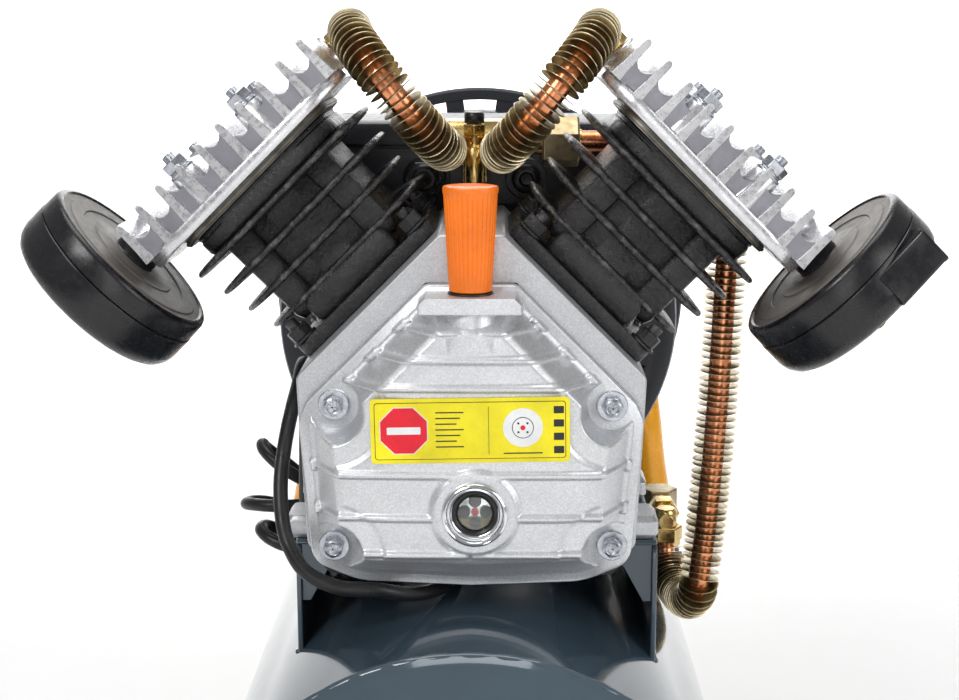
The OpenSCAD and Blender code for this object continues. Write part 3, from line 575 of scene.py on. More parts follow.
def cover_height(x, z):
    """How far the cover's face stands out from its joint at a point."""
    inset = inset_of(x, z, COVER_OUTLINE)
    clear = min(math.hypot(x - bx, z - bz) - POCKET for bx, bz in BOLTS)
    base = ramped(min(inset, clear + LEDGE), DOME)
    if clear + LEDGE < inset:
        base = max(base, ramped(clear + LEDGE, [(LEDGE - 0.5, 4), (LEDGE + 0.7, 8.5), (LEDGE + 5, 29)]))
        base = min(base, ramped(inset, DOME))
    height = base
    if inset > LEDGE and clear > 0:
        rise = RIB_RISE * min(1, (inset - LEDGE) / 3 + 0.35)
        for rib_z, gap in RIBS:
            away = abs(z - rib_z)
            if away < RIB_HALF + 0.8 and not (gap and abs(x) < gap):
                height = max(height, base + rise * min(1, (RIB_HALF + 0.8 - away) / 0.8))
        post = abs(inset - 5.5)
        for rib_z, gap in RIBS:
            if abs(z - rib_z) < 3 and post < 2 and clear > 2:
                height = max(height, 13.5)
    # shelf and half-round boss under the filler plug
    if inset > 2:
        shelf = min(66 - z, z - 57, 26 - abs(x))
        if shelf > -1:
            height = max(height, 31.8 + min(1, shelf + 1) * 1.4)
    if z > 34:
        swell = 1 - (x / 11.5) ** 2
        if swell > 0:
            fade = min(1, (z - 34) / 18)
            height = max(height, base + 3.0 * fade * math.sqrt(swell) + 1.5 * (z > 56))
    # boss round the sight glass
    out = math.hypot(x - SIGHT.x, z - SIGHT.z)
    if out < 25:
        height = max(height, ramped(out, [(21, 34.6), (22.5, 33.6), (25, 31)]))
    if out < 15.5:
        height = 24
    return height


def smoothed(grid, passes):
    rows, columns = len(grid), len(grid[0])
    for _ in range(passes):
        grid = [[(grid[j][i] * 4 + grid[j][max(i - 1, 0)] + grid[j][min(i + 1, columns - 1)]
                  + grid[max(j - 1, 0)][i] + grid[min(j + 1, rows - 1)][i]) / 8
                 for i in range(columns)] for j in range(rows)]
    return grid


def add_height_field(part, pitch):
    """The cover's domed face as one closed sheet whose rim is sunk in the flange."""
    columns = int((2 * COVER_HALF - 4) / pitch)
    rows = int((68 + COVER_DROP - 4) / pitch)
    xs = [-COVER_HALF + 2 + pitch * i for i in range(columns + 1)]
    zs = [-COVER_DROP + 2 + pitch * j for j in range(rows + 1)]
    heights = smoothed([[cover_height(x, z) for x in xs] for z in zs], 1)
    low = FLANGE - 3
    keep = [[inset_of(x, z, COVER_OUTLINE) > 2 for x in xs] for z in zs]
    index, points = {}, []
    for back in (False, True):
        for j, z in enumerate(zs):
            for i, x in enumerate(xs):
                if keep[j][i]:
                    index[back, j, i] = len(points)
                    points.append((x, -2.0 if back else -max(heights[j][i], low), z))
    solid = {(j, i) for j in range(rows) for i in range(columns)
             if keep[j][i] and keep[j + 1][i] and keep[j][i + 1] and keep[j + 1][i + 1]}
    faces = []
    for j, i in sorted(solid):
        a, b, c, d = (j, i), (j, i + 1), (j + 1, i + 1), (j + 1, i)
        faces.append([index[False, *p] for p in (a, b, c, d)])
        faces.append([index[True, *p] for p in (d, c, b, a)])
        for p, q, other in ((a, b, (j - 1, i)), (b, c, (j, i + 1)), (c, d, (j + 1, i)), (d, a, (j, i - 1))):
            if other not in solid:
                faces.append([index[False, *q], index[False, *p], index[True, *p], index[True, *q]])
    part.faces(points, faces)


def front_cover():
    part = Part("front_cover_casting", "cast_alloy", ["cover"])
    part.prism(COVER_OUTLINE, 0.2, FLANGE, UPRIGHT, 0.8)
    add_height_field(part, 0.75)
    neck = [(15.2, -34), (15.2, -2), (13.8, 0)]
    part.lathe(neck, shift(PLUG.x, PLUG.y, PLUG_SEAT - 0.1), 40)
    part.done(angle=50, replaces=["front_cover"])


def cover_bolts():
    part = Part("cover_flange_bolts", "zinc", ["zinc"])
    for x, z in BOLTS:
        where = shift(x, -FLANGE, z) @ UPRIGHT @ turn(17 * x, "Z")
        part.lathe([(8.2, 0), (8.2, 1.3), (7.8, 1.7), (4, 1.7)], where, 40)
        part.nut(10, 1.6, 6.2, where)
        part.lathe([(4.9, 6.0), (4.7, 6.9), (3.6, 7.4), (2.9, 7.0), (1.2, 6.9)], where, 32)
        for spoke in range(3):
            arm = where @ turn(spoke * 60, "Z")
            part.box((-2.7, -0.45, 6.8), (2.7, 0.45, 7.5), arm, 0.3)
    part.done(bevel=0.25, replaces=["cover_bolts"])


def label():
    low, high = box_mm("label_plate")
    middle_z = (low.z + high.z) / 2
    where = shift(0, high.y + 1.6, middle_z) @ turn(-1.0, "Y") @ UPRIGHT
    part = Part("oil_level_label", "label", ["yellow", "ink", "label_red", "label_white"])
    hx, hy = (high.x - low.x) / 2, (high.z - low.z) / 2

    def patch(outline, layer, mat, x=0.0, y=0.0):
        part.prism(outline, 0.0, 0.5 + 0.09 * layer, where @ shift(x, y, 0), mat=mat)

    patch(rounded_box(hx, hy, 2.2), 0, 0)
    patch(rounded_box(hx - 2.0, hy - 2.0, 1.6), 1, 1)
    patch(rounded_box(hx - 2.35, hy - 2.35, 1.4), 2, 0)
    sign_x, sign_y = -hx + 17, 0.3
    patch(circle(13.4, 8, math.pi / 8), 3, 3, sign_x, sign_y)
    patch(circle(12.9, 8, math.pi / 8), 4, 2, sign_x, sign_y)
    patch(rounded_box(8.6, 1.9, 0.5), 5, 3, sign_x, sign_y)
    for row in range(7):
        shorter = 0.9 * (row % 3)
        patch(rounded_box(7.2 - shorter, 0.32, 0.1), 3, 1, -hx + 40.5 - shorter, 9.6 - 3.0 * row)
    patch(rounded_box(0.12, hy - 4.4, 0.05), 3, 1, 9.5, 0)
    dial_x, dial_y = 27.0, 1.2
    patch(circle(10.2), 3, 3, dial_x, dial_y)
    patch(circle(5.6), 4, 1, dial_x, dial_y)
    patch(circle(5.2), 5, 3, dial_x, dial_y)
    patch(circle(1.3, 24), 6, 2, dial_x, dial_y)
    for k in range(4):
        angle = math.radians(45 + 90 * k)
        hole_x, hole_y = polar(3.3, angle)
        patch(circle(0.6, 12), 6, 1, dial_x + hole_x, dial_y + hole_y)
    patch(rounded_box(10, 0.32, 0.1), 3, 1, dial_x, -12.2)
    for row in range(4):
        patch(rounded_box(2.6, 1.9, 0.2), 3, 1, hx - 5.6, 10.4 - 7.0 * row)
    part.done(angle=30, replaces=["label_plate"])


def sight_glass():
    face = shift(SIGHT.x, -34.4, SIGHT.z) @ UPRIGHT
    ring = Part("sight_glass_chrome_ring", "chrome", ["chrome", "ink"])
    ring.lathe([(11.6, -8), (17.2, -6), (17.2, 2.2), (16.4, 3.6), (15.6, 4.0), (14.6, 3.2), (13.9, 1.6),
                (13.1, 1.8), (12.4, 0.6), (11.6, 0.2)], face, 72, loop=True)
    ring.lathe([(11.6, -7), (11.6, 0.6), (10.9, 0.6), (8.9, -1.6), (8.9, -7)], face, mat=1, loop=True)
    ring.done(angle=50, replaces=["sight_glass_ring"])
    glass = Part("sight_glass_window", "glass", ["glass"])
    glass.lathe([(8.9, -1.9), (8.9, -0.9), (8.4, -0.6)], face, 48)
    glass.done(angle=50, replaces=["sight_glass_lens"])
    plate = Part("sight_glass_oil_plate", "chrome", ["chrome", "ink", "label_red", "oil"])
    plate.lathe([(8.8, -6.6), (8.8, -5.2), (8.4, -4.9)], face, 48)
    for k in range(4):
        hole = face @ turn(90 * k, "Z") @ shift(5.2, 0, 0)
        plate.prism([(x * 0.9, y) for x, y in circle(3.1, 24)], -5.5, -3.75, hole, mat=1)
    plate.prism(circle(1.9, 24), -5.2, -3.6, face, mat=2)
    pool_r, level = 8.75, -3.0
    shore = math.asin(-level / pool_r)
    pool = [polar(pool_r, math.pi + shore + k * (math.pi - 2 * shore) / 16) for k in range(17)]
    plate.prism(pool, -4.8, -3.9, face, mat=3)
    plate.done(angle=40)


def fluted(z, radius, depth, flutes, sharpness, steps):
    """A ring with grooves of a depth cut into it."""
    angles = [math.tau * k / steps for k in range(steps)]
    return [(*polar(radius - depth * max(0.0, math.cos(flutes * a)) ** sharpness, a), z) for a in angles]


def oil_plug():
    part = Part("oil_filler_plug", "orange_plastic", ["orange", "ink"])
    where = shift(PLUG.x, PLUG.y, PLUG_SEAT)
    body = [(3.0, 10.4, 0.0), (3.6, 11.1, 0.0), (8, 11.3, 0.1), (12, 11.55, 0.4), (50, 13.7, 0.45),
            (53, 13.9, 0.3), (53.6, 14.25, 0.0), (56.0, 14.3, 0.0), (56.8, 13.9, 0.0), (57.0, 12.8, 0.0),
            (56.2, 12.0, 0.0), (55.8, 4.0, 0.0)]
    part.loft([fluted(z, r, d, 30, 3, 240) for z, r, d in body], where)
    part.lathe([(9.4, 0.2), (11.6, 0.4), (12.0, 1.4), (11.6, 2.6), (9.4, 3.2)], where, 48, 1)
    part.lathe([(8.6, -14), (8.6, 0.5)], where, 32, 1)
    part.done("filler_plug", angle=45, replaces=["oil_plug"])


# ---------------------------------------------------------------- cylinders and heads

SEAT = 78.0
BARREL_TOP = 166.0
HEAD_LOW = 170.0
FIN_SPOTS = [102.5, 118.9, 135.3, 151.7]
FIN_HALF = [56.5, 59.5, 62.5, 65.5]


def wobbled(outline, amount, seed):
    """An outline with the small unevenness of a sand casting."""
    return [(x + amount * noise.noise((x * 0.14 + seed, y * 0.14, 0.0)),
             y + amount * noise.noise((x * 0.14, y * 0.14, seed + 7.0))) for x, y in outline]


def barrel_fin(part, z, half, seed):
    """A cast fin: thick at its root, thin and worn at its rim."""
    outline = wobbled(rounded_box(half, half - 14, half * 0.55, 14), 1.5, seed)
    levels = [(0.70, -2.9, 0), (0.93, -2.0, 0), (0.985, -1.5, 1), (1.0, -0.5, 1), (1.0, 0.6, 1),
              (0.985, 1.5, 1), (0.93, 2.0, 0), (0.70, 2.9, 0)]
    rings = [[(x * s, y * s, z + dz + 0.35 * noise.noise((x * 0.08 + seed, y * 0.08, 3.0)))
              for x, y in outline] for s, dz, _ in levels]
    part.loft(rings, mat=[kind for _, _, kind in levels])


def cylinder(side):
    name = SIDE_NAME[side]
    part = Part(name + "_cylinder_casting", "black_iron", ["iron", "worn"], bank(side))
    seed = 3.0 if side < 0 else 19.0
    flange = wobbled(rounded_box(50.5, 47, 9, 5), 0.5, seed)
    part.prism(flange, SEAT + 0.2, SEAT + 8.5, edge=0.9)
    part.lathe([(40, SEAT + 8), (37.5, 92), (37.5, 155), (38, BARREL_TOP - 4)])
    for x in SIDES:
        part.box((x * 30 - 9, -41.0, SEAT + 16), (x * 30 + 9, 41.0, BARREL_TOP - 6), edge=5)
    part.box((-38, -36, SEAT + 14), (38, 36, BARREL_TOP - 6), edge=8)
    # raised panel that joins the lowest fin to the base flange, between the nut pockets
    part.box((-31, -44.5, SEAT + 7), (31, 44.5, FIN_SPOTS[0]), edge=4)
    for i, (z, half) in enumerate(zip(FIN_SPOTS, FIN_HALF)):
        barrel_fin(part, z, half, seed + 5 * i)
    top = wobbled(rounded_box(51, 47, 30, 12), 0.5, seed + 2)
    drops = [(0.93, 13), (0.985, 11.6), (1, 10), (1, 3.4), (0.985, 2.6), (0.985, 1.8), (1.0, 1.0), (0.99, 0)]
    part.stack(top, [(scale, BARREL_TOP - drop) for scale, drop in drops])
    part.done(bevel=0.6, angle=45, replaces=[name + "_cylinder"])


def cylinder_nuts():
    part = Part("cylinder_base_nuts", "black_iron", ["iron", "worn"])
    for side in SIDES:
        for x, y in CORNERS:
            where = bank(side) @ shift(x * 43.5, y * 40, SEAT + 8.5) @ turn(20 * x + 11 * y, "Z")
            part.lathe([(7.8, 0), (7.8, 1.5)], where, 32)
            part.nut(12, 1.4, 8.5, where)
            part.lathe([(3.4, 8), (3.4, 12.5), (2.8, 13.2)], where, 20, 1)
    part.done(bevel=0.3, replaces=["cylinder_nuts"])


def valve_plates():
    part = Part("valve_plate_stack", "plate_steel", ["plate"])
    outline = rounded_box(56, 49, 26, 10)
    for side in SIDES:
        for low, high, grow in ((BARREL_TOP + 0.1, BARREL_TOP + 1.0, 0.985), (BARREL_TOP + 1.05,
                                                                              HEAD_LOW - 1.1, 1.0),
                                (HEAD_LOW - 1.05, HEAD_LOW - 0.1, 0.985)):
            part.prism([(x * grow, y * grow) for x, y in outline], low, high, bank(side), 0.15)
    part.done(replaces=["valve_plates"])


HEAD_HALF = 76.0
HEAD_INNER = -74.6                 # its end beside the hairpin
ELBOW_Y = 28.0
HAIRPIN_TOP = Vector((-90.5, 4, 188))
HAIRPIN_LOW = Vector((-81.5, 4, 104))
HEAD_DEEP = 52.0
HEAD_TOP = HEAD_LOW + 32
PLATE_TOP = HEAD_LOW + 8
HEAD_FIN_PITCH = 15.6
HEAD_BOLT = (25.0, 38.0)
FILTER_AXIS = 187.0


def head_fin(part, x):
    """One upright fin, drafted and rounded along its top."""
    def section(half, z, grow):
        return [(x - half, -HEAD_DEEP * grow, z), (x + half, -HEAD_DEEP * grow, z),
                (x + half, HEAD_DEEP * grow, z), (x - half, HEAD_DEEP * grow, z)]
    part.loft([section(3.2, PLATE_TOP - 2, 0.975), section(2.6, PLATE_TOP + 6, 0.955),
               section(2.1, HEAD_TOP - 2.4, 0.93), section(1.6, HEAD_TOP - 0.8, 0.925),
               section(0.7, HEAD_TOP, 0.92)])


def head_valley(part, x0, x1, drop):
    """The body between two fins: its top is scooped and its ends are set back. It takes the darker
    aluminium, painted shade between the fins.
    """
    steps = 8
    points = [(x0, PLATE_TOP - 2), (x1, PLATE_TOP - 2)]
    for k in range(steps + 1):
        s = k / steps
        points.append((x1 + (x0 - x1) * s, HEAD_TOP - drop + 7.5 * (2 * s - 1) ** 2))
    half = HEAD_DEEP - 6.5
    # the valley takes the darker aluminium: painted shade between the fins
    part.loft([[(x, y, z) for x, z in points] for y in (half, half - 0.8, -half + 0.8, -half)], mat=1)


def head(side):
    name = SIDE_NAME[side]
    part = Part(name + "_head_casting", "head_alloy", ["head", "head_valley_painted_shade"], bank(side))
    rim = wobbled(rounded_box(HEAD_HALF, HEAD_DEEP, 30, 12), 0.35, 5.0 * side)
    plate = [(max(x, HEAD_INNER), y) for x, y in rim]
    part.stack(plate, [(0.985, HEAD_LOW + 0.1), (1, HEAD_LOW + 1.4), (1, PLATE_TOP - 2.2),
                       (0.985, PLATE_TOP - 0.6), (0.95, PLATE_TOP)])
    spots = [(i - 4.5) * HEAD_FIN_PITCH for i in range(10)]
    for x in spots:
        head_fin(part, x)
    bolts = [HEAD_BOLT[0] * s for s in SIDES]
    for x0, x1 in zip(spots, spots[1:]):
        near_bolt = any(x0 < b < x1 for b in bolts)
        middle_gap = x0 < 0 < x1
        head_valley(part, x0, x1, 10.5 if near_bolt else (8.0 if middle_gap else 15.0))
    for x, y in CORNERS:
        part.lathe([(9.2, PLATE_TOP - 1), (8.2, HEAD_TOP - 5.4), (7.6, HEAD_TOP - 4.8)],
                   shift(x * HEAD_BOLT[0], y * HEAD_BOLT[1], 0), 36)
    inlet = shift(HEAD_HALF - 8, 0, FILTER_AXIS) @ turn(90, "Y")
    part.lathe([(14.2, -6), (14.2, 7), (13.2, 8)], inlet, 40)
    outlet = shift(HEAD_INNER, ELBOW_Y, HAIRPIN_TOP.z) @ turn(-90, "Y")
    part.lathe([(12, -12), (12, -1.5), (11, -0.3)], outlet, 40)
    part.done(bevel=0.45, angle=45, replaces=[name + "_head"])


def head_bolts():
    part = Part("head_stud_nuts", "zinc", ["zinc"])
    turns = random.Random(4)
    thread = [(3.6 if k % 2 else 3.25, 8.8 + 0.45 * k) for k in range(9)] + [(2.9, 12.9)]
    for side in SIDES:
        for x, y in CORNERS:
            where = bank(side) @ shift(x * HEAD_BOLT[0], y * HEAD_BOLT[1], HEAD_TOP - 5)
            where = where @ turn(turns.uniform(0, 60), "Z")
            part.lathe([(8.0, 0), (8.0, 1.4), (7.6, 1.7)], where, 36)
            part.lathe([(6.6, 1.6), (6.9, 2.2), (6.6, 2.8), (5.0, 3.0)], where, 30)
            part.nut(13, 2.8, 9.0, where)
            part.lathe(thread, where, 24)
    part.done(bevel=0.3, replaces=["head_bolts"])


def inner_works():
    """Finishes for the CAD pieces that stay as they are, inside the pump and the motor."""
    finishes = {"pistons": "head", "con_rods": "steel", "crank_web": "steel", "main_bearing": "chrome",
                "stator": "winding", "rotor": "steel", "filter_elements": "media", "cover_gasket": "ink"}
    for node, finish in finishes.items():
        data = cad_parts[node].data
        data.materials.clear()
        data.materials.append(M[finish])


# ---------------------------------------------------------------- crankcase


CASE_HIGH = box_mm("crankcase")[1]


def crankcase():
    part = Part("crankcase_casting", "cast_alloy", ["case"])
    reach = 50.5 + 3
    shoulder = ((SEAT - reach) / math.sqrt(2), (SEAT + reach) / math.sqrt(2))
    half = [shoulder, (shoulder[1], shoulder[0]), (CASE_HIGH.x - 1.5, -10), (CASE_HIGH.x - 5, -79)]
    outline = mirrored_outline(half, [3, 5, 10, 6])
    back = -CASE_HIGH.y
    part.prism(outline, back, -1, UPRIGHT, 1.0)
    part.prism(COVER_OUTLINE, -13, -1.0, UPRIGHT, 0.8)
    for side in SIDES:                    # pads under the cylinders and feet on the rails
        pad = rounded_box(52.5, 49.5, 10, 5)
        part.prism(pad, SEAT - 9, SEAT, bank(side), 0.8)
        for y in (22, 100):
            part.box((side * 88 - 15, y, -79), (side * 88 + 15, y + 30, -66), edge=3)
        for y in (40, 75, 110):
            part.box((side * 89.5 - 2.5, y - 2, -62), (side * 89.5 + 2.5, y + 2, 8), edge=1)
    part.done(bevel=0.7, angle=40, replaces=["crankcase"])


# ---------------------------------------------------------------- inlet filters


NECK_END = 87.5
CASE_T = 13.0
FILTER_T = 39.0
FILTER_R = 56.0
DUCT_TURN = 76.0


def filters():
    for side in SIDES:
        name = SIDE_NAME[side]
        axis = bank(side) @ shift(NECK_END, 0, FILTER_AXIS) @ turn(90, "Y")
        case = Part(name + "_filter_base", "filter_plastic", ["filter", "filter_face"])
        profile = [(9, 3, 1), (9, -0.4, 1), (17, -0.4, 1), (18, 0.3, 1), (26, 0.3, 1), (26.6, 0.9, 1),
                   (34, 0.9, 1), (34.6, 0.2, 1), (43, 0.2, 1), (43.8, 0.9, 1), (47.5, 0.9, 0),
                   (48.6, 0.0, 0), (50.2, 0.2, 0), (51.6, 1.3, 0), (52.3, 3.2, 0), (52.6, CASE_T - 0.5, 0),
                   (52.2, CASE_T - 0.1, 0), (48, CASE_T, 0), (48, 3, 0)]
        grow = (FILTER_R - 0.4) / 52.6
        kinds = [kind for _, _, kind in profile]
        case.lathe([(r * grow if r > 13 else r, z) for r, z, _ in profile], axis, 96, kinds, loop=True)
        case.done(angle=35, replaces=["filter_cases"] if side < 0 else [])
        cover = Part(name + "_filter_cover", "filter_plastic", ["filter", "ink"])
        rim = [(-5, CASE_T + 0.2), (-0.6, CASE_T + 0.2), (0, CASE_T + 0.8), (0, FILTER_T - 12),
               (-1, FILTER_T - 7.5), (-3.4, FILTER_T - 3.6), (-7, FILTER_T - 1.3), (-12, FILTER_T - 0.3),
               (-17, FILTER_T - 0.2), (-18.5, FILTER_T - 1.4)]
        centre = [(13, FILTER_T - 2.0), (11.6, FILTER_T - 0.6), (7, FILTER_T - 0.6), (6, FILTER_T - 2.4),
                  (3.4, FILTER_T - 2.4), (3.4, FILTER_T - 6), (FILTER_R - 9, FILTER_T - 6),
                  (FILTER_R - 5, FILTER_T - 12)]
        cover.lathe([(FILTER_R + r, z) for r, z in rim] + centre, axis, 96, loop=True)
        if side > 0:
            duct = bank(side) @ shift(NECK_END + CASE_T, 0, FILTER_AXIS) @ turn(DUCT_TURN, "X") \
                @ shift(13, 0, FILTER_R - 8.5) @ turn(-90, "X")
            walls = [(0.5, 11, 9.1), (33, 11, 9.1), (33.6, 11.2, 9.4), (35.8, 11.2, 9.4), (35.8, 8.6, 6.8),
                     (25, 8.2, 6.4)]
            cover.loft([[(x, y, z) for x, y in rounded_box(hx, hy, 2.5, 3)] for z, hx, hy in walls], duct)
            cover.prism(rounded_box(8.4, 6.6, 2, 3), 24.9, 25.3, duct, mat=1)
        cover.done(bevel=0.3, angle=35, replaces=["filter_covers"] if side < 0 else [])

    stud = Part("filter_cover_studs", "brass", ["brass", "zinc"])
    neck = Part("inlet_elbows", "pipe_black", ["black"])
    for side in SIDES:
        axis = bank(side) @ shift(0, 0, FILTER_AXIS) @ turn(90, "Y")
        tip = NECK_END + FILTER_T
        stud.lathe([(6.8, tip - 2.2), (6.8, tip - 1.0), (6.2, tip - 0.8)], axis, 32, 1)
        stud.nut(8, tip - 0.9, tip + 4.8, axis)
        stud.lathe([(3.0 if k % 2 else 2.7, tip + 4.4 + 0.45 * k) for k in range(20)] + [(2.4, tip + 13.4)],
                   axis, 20)
        neck.lathe([(13.9, HEAD_HALF - 0.5), (13.9, HEAD_HALF + 3), (12.8, HEAD_HALF + 4.5),
                    (12.8, NECK_END - 1), (13.6, NECK_END - 0.2)], axis, 40)
    stud.done(bevel=0.2, replaces=["filter_studs"])
    neck.done(bevel=0.3, replaces=["inlet_pipes"])


# ---------------------------------------------------------------- pipework


PIPE_R = 6.5
PIPE_FIN_R = 12.5
LINE_Y = 138.0
MANIFOLD_Z = 131.5
VALVE = centre_mm("safety_valve")
RISER = Vector((125, 200, -138))
LINE_LOW = Vector((139.5, 130, -138))


def hairpin_path():
    centre, up = (HAIRPIN_TOP + HAIRPIN_LOW) / 2, (HAIRPIN_TOP - HAIRPIN_LOW).normalized()
    bend = (HAIRPIN_TOP - HAIRPIN_LOW).length / 2
    path = [HAIRPIN_TOP + 14 * Y]
    for k in range(41):
        a = math.pi * k / 40
        path.append(centre + bend * (math.cos(a) * up - math.sin(a) * Y))
    return path + [HAIRPIN_LOW + 14 * Y]


def discharge_path():
    bend = 22.0
    points = [Vector((62.3, LINE_Y, MANIFOLD_Z)), Vector((95, LINE_Y, MANIFOLD_Z))]
    for k in range(13):
        a = math.radians(90 * k / 12)
        points.append(Vector((129 + bend * math.sin(a), LINE_Y, MANIFOLD_Z - bend + bend * math.cos(a))))
    points += [Vector((152, 137, 63)), Vector((149, 136, -23)), Vector((146.5, 134, -64)),
               Vector((143, 132, -108))]
    for k in range(25):
        a = math.pi * k / 24
        points.append((LINE_LOW + RISER) / 2 + (LINE_LOW - RISER) / 2 * math.cos(a) - 24 * math.sin(a) * Z)
    return points + [RISER + 4 * Z]


def pipe_fin(part, where, wave, seed):
    """A thin disc pressed on the pipe, a little dished and wavy, its rim in the brighter brass as a painted
    highlight.
    """
    count, thick = 36, 0.28
    levels = [(PIPE_R - 0.1, -thick * 1.8, 0), (9.0, -thick, 0), (12.0, -thick, 0), (PIPE_FIN_R, -0.12, 1),
              (PIPE_FIN_R, 0.12, 0), (12.0, thick, 0), (9.0, thick, 0), (PIPE_R - 0.1, thick * 1.8, 0)]
    rings = []
    for r, dz, _ in levels:
        ring = []
        for k in range(count):
            a = math.tau * k / count
            lift = wave * (max(0, r - PIPE_R) / 6.5) ** 1.5 * math.sin(2 * a + seed)
            ring.append((*polar(r, a), dz + lift))
        rings.append(ring)
    # the bands at the rim take the brighter brass, a painted highlight
    kinds = [0, 0, 1, 1, 1, 0, 0, 0]
    part.loft(rings, where, kinds, caps=False, loop=True)


def finned(pipe, fins, path, pitch, start, end, seed):
    """Lays a pipe along a path, and fins along the stretch between two distances."""
    pipe.tube(path, PIPE_R, 24)
    frames = random.Random(seed)
    distance = start
    while distance < end:
        p, direction = along(path, distance)
        lean = turn(frames.uniform(-2.5, 2.5), "X") @ turn(frames.uniform(-2.5, 2.5), "Y")
        pipe_fin(fins, Matrix.Translation(p) @ aimed(direction) @ lean, frames.uniform(0.1, 0.5),
                 frames.uniform(0, 6))
        distance += pitch * frames.uniform(0.94, 1.06)


def cooling_pipes():
    spec = [("left", bank(-1), hairpin_path(), 4.0, 13.0, 146.0), ("right", bank(1), hairpin_path(), 4.0,
                                                                   13.0, 146.0),
            ("discharge", HERE, discharge_path(), 4.2, 34.0, None)]
    first = True
    for name, place, path, pitch, start, end in spec:
        pipe = Part(name + "_copper_pipe", "copper", ["copper"], place)
        fins = Part(name + "_pipe_fins", "fin_brass", ["fin", "fin_rim_painted_highlight"], place)
        finned(pipe, fins, path, pitch, start, end or path_length(path) - 7, len(name))
        pipe.done(angle=60, replaces=[name + "_tube"])
        fins.done(angle=40, replaces=["tube_fins"] if first else [])
        first = False


def pipe_fittings():
    part = Part("brass_pipe_fittings", "brass", ["brass", "dull_brass"])
    for side in SIDES:
        place = bank(side)
        inward = place @ shift(HEAD_INNER - 0.1, ELBOW_Y, HAIRPIN_TOP.z) @ turn(-90, "Y")
        part.nut(17, 0, 7, inward)
        part.lathe([(8, 6), (9, 8), (9, 22), (8, 24.5), (5, 25)], inward, 32)
        for end, length in ((HAIRPIN_TOP, 6), (HAIRPIN_LOW, 106 - BANK_Y[side] - HAIRPIN_LOW.y)):
            towards = place @ Matrix.Translation(end + 12.1 * Y) @ turn(-90, "X")
            part.nut(18, 0, 12, towards)
            part.lathe([(7.5, 11), (7.5, 12 + length - 1.9)], towards, 32)
    z = MANIFOLD_Z
    part.box((-30, 122, z - 13), (30, 148, z + 13), edge=3)
    part.box((-7, VALVE.y - 8, z - 27), (7, 148, z - 22), edge=1.5)
    part.box((-7, 123, z - 23), (7, 147, z - 12), edge=0.5)
    right = shift(30, LINE_Y, z) @ turn(90, "Y")
    part.lathe([(8.5, -1), (8.5, 4), (7.6, 5), (7.6, 10.5)], right, 36)
    part.nut(27, 10, 32, right @ turn(10, "Z"), 1)
    part.lathe([(7.4, 31), (7.4, 33.5)], right, 32)
    riser = Matrix.Translation(RISER)
    part.nut(20, 2.1, 12, riser)
    part.lathe([(7.5, 11.5), (7.5, 22), (6, 24)], riser, 32)
    elbow = shift(RISER.x, RISER.y, -122) @ turn(-90, "X")
    part.lathe([(5, -8), (7, -6), (7, 34.8)], elbow, 32)
    part.nut(19, 12, 23, elbow)
    part.done(bevel=0.35, replaces=["pipe_fittings"])


def safety_valve():
    part = Part("safety_valve_body", "brass", ["brass"])
    seat = shift(VALVE.x, VALVE.y, box_mm("safety_valve")[0].z)
    part.lathe([(6.2, 0.1), (6.2, 19), (5.4, 20), (5.4, 25), (6.0, 26), (6.0, 27.4)], seat, 36)
    part.nut(12.2, 27, 34, seat @ turn(30, "Z"))
    part.done(bevel=0.3, replaces=["safety_valve"])
    cap = Part("safety_valve_cap", "cowl_plastic", ["black"])
    low, high = box_mm("safety_cap")
    cap.lathe([(5.2, low.z), (5.9, low.z + 0.8), (5.9, high.z - 1.2), (5.0, high.z)],
              shift(VALVE.x, VALVE.y, 0), 36)
    cap.done("relief_cap", angle=45, replaces=["safety_cap"])


# ---------------------------------------------------------------- motor


MOTOR_Y = CASE_HIGH.y
COWL_LOW, COWL_HIGH = box_mm("fan_cowl")
DRUM_R = 137.0
MOTOR_END = box_mm("motor_housing")[1].y
MOTOR_R = 84.0


def motor_housing():
    part = Part("motor_frame", "head_alloy", ["case", "steel"])
    core = MOTOR_R - 8
    part.lathe([(core, MOTOR_Y), (core, MOTOR_END)], ALONG_CRANK, 96)
    for y, end in ((MOTOR_Y, MOTOR_Y + 12), (MOTOR_END - 12, MOTOR_END)):
        part.lathe([(MOTOR_R - 1, y), (MOTOR_R, y + 1), (MOTOR_R, end - 1), (MOTOR_R - 1, end)], ALONG_CRANK,
                   96)
    ribs = 44
    for i in range(ribs):
        angle = 360 * i / ribs
        if 60 < angle < 120:           # left plain under the capacitor box
            continue
        where = turn(angle, "Y")
        part.box((core - 2, MOTOR_Y + 12, -1.2), (MOTOR_R - 0.5, MOTOR_END - 12, 1.2), where)
    box_low, _ = box_mm("terminal_box")
    part.box((-42, 168, 60), (50, 248, box_low.z - 0.1), edge=4)
    for side in SIDES:
        for y in (MOTOR_Y + 14, MOTOR_END - 44):
            part.box((side * 62 - 22, y, -79), (side * 62 + 22, y + 30, -70), edge=3)
            part.box((side * 62 - 6, y + 3, -72), (side * 62 + 6, y + 27, -40), edge=2)
            part.nut(13, 0, 7, shift(side * 74, y + 15, -70), 1)
            part.lathe([(8, 0), (8, 1.4)], shift(side * 74, y + 15, -70), 32, 1)
    for k in range(4):                 # long studs that tie the end shields together
        a = math.radians(45 + 90 * k)
        x, z = polar(80, a)
        part.rod((x, MOTOR_Y + 4, z), (x, MOTOR_END - 4, z), 2.6, 16, 1)
    part.done(bevel=0.5, replaces=["motor_housing"])


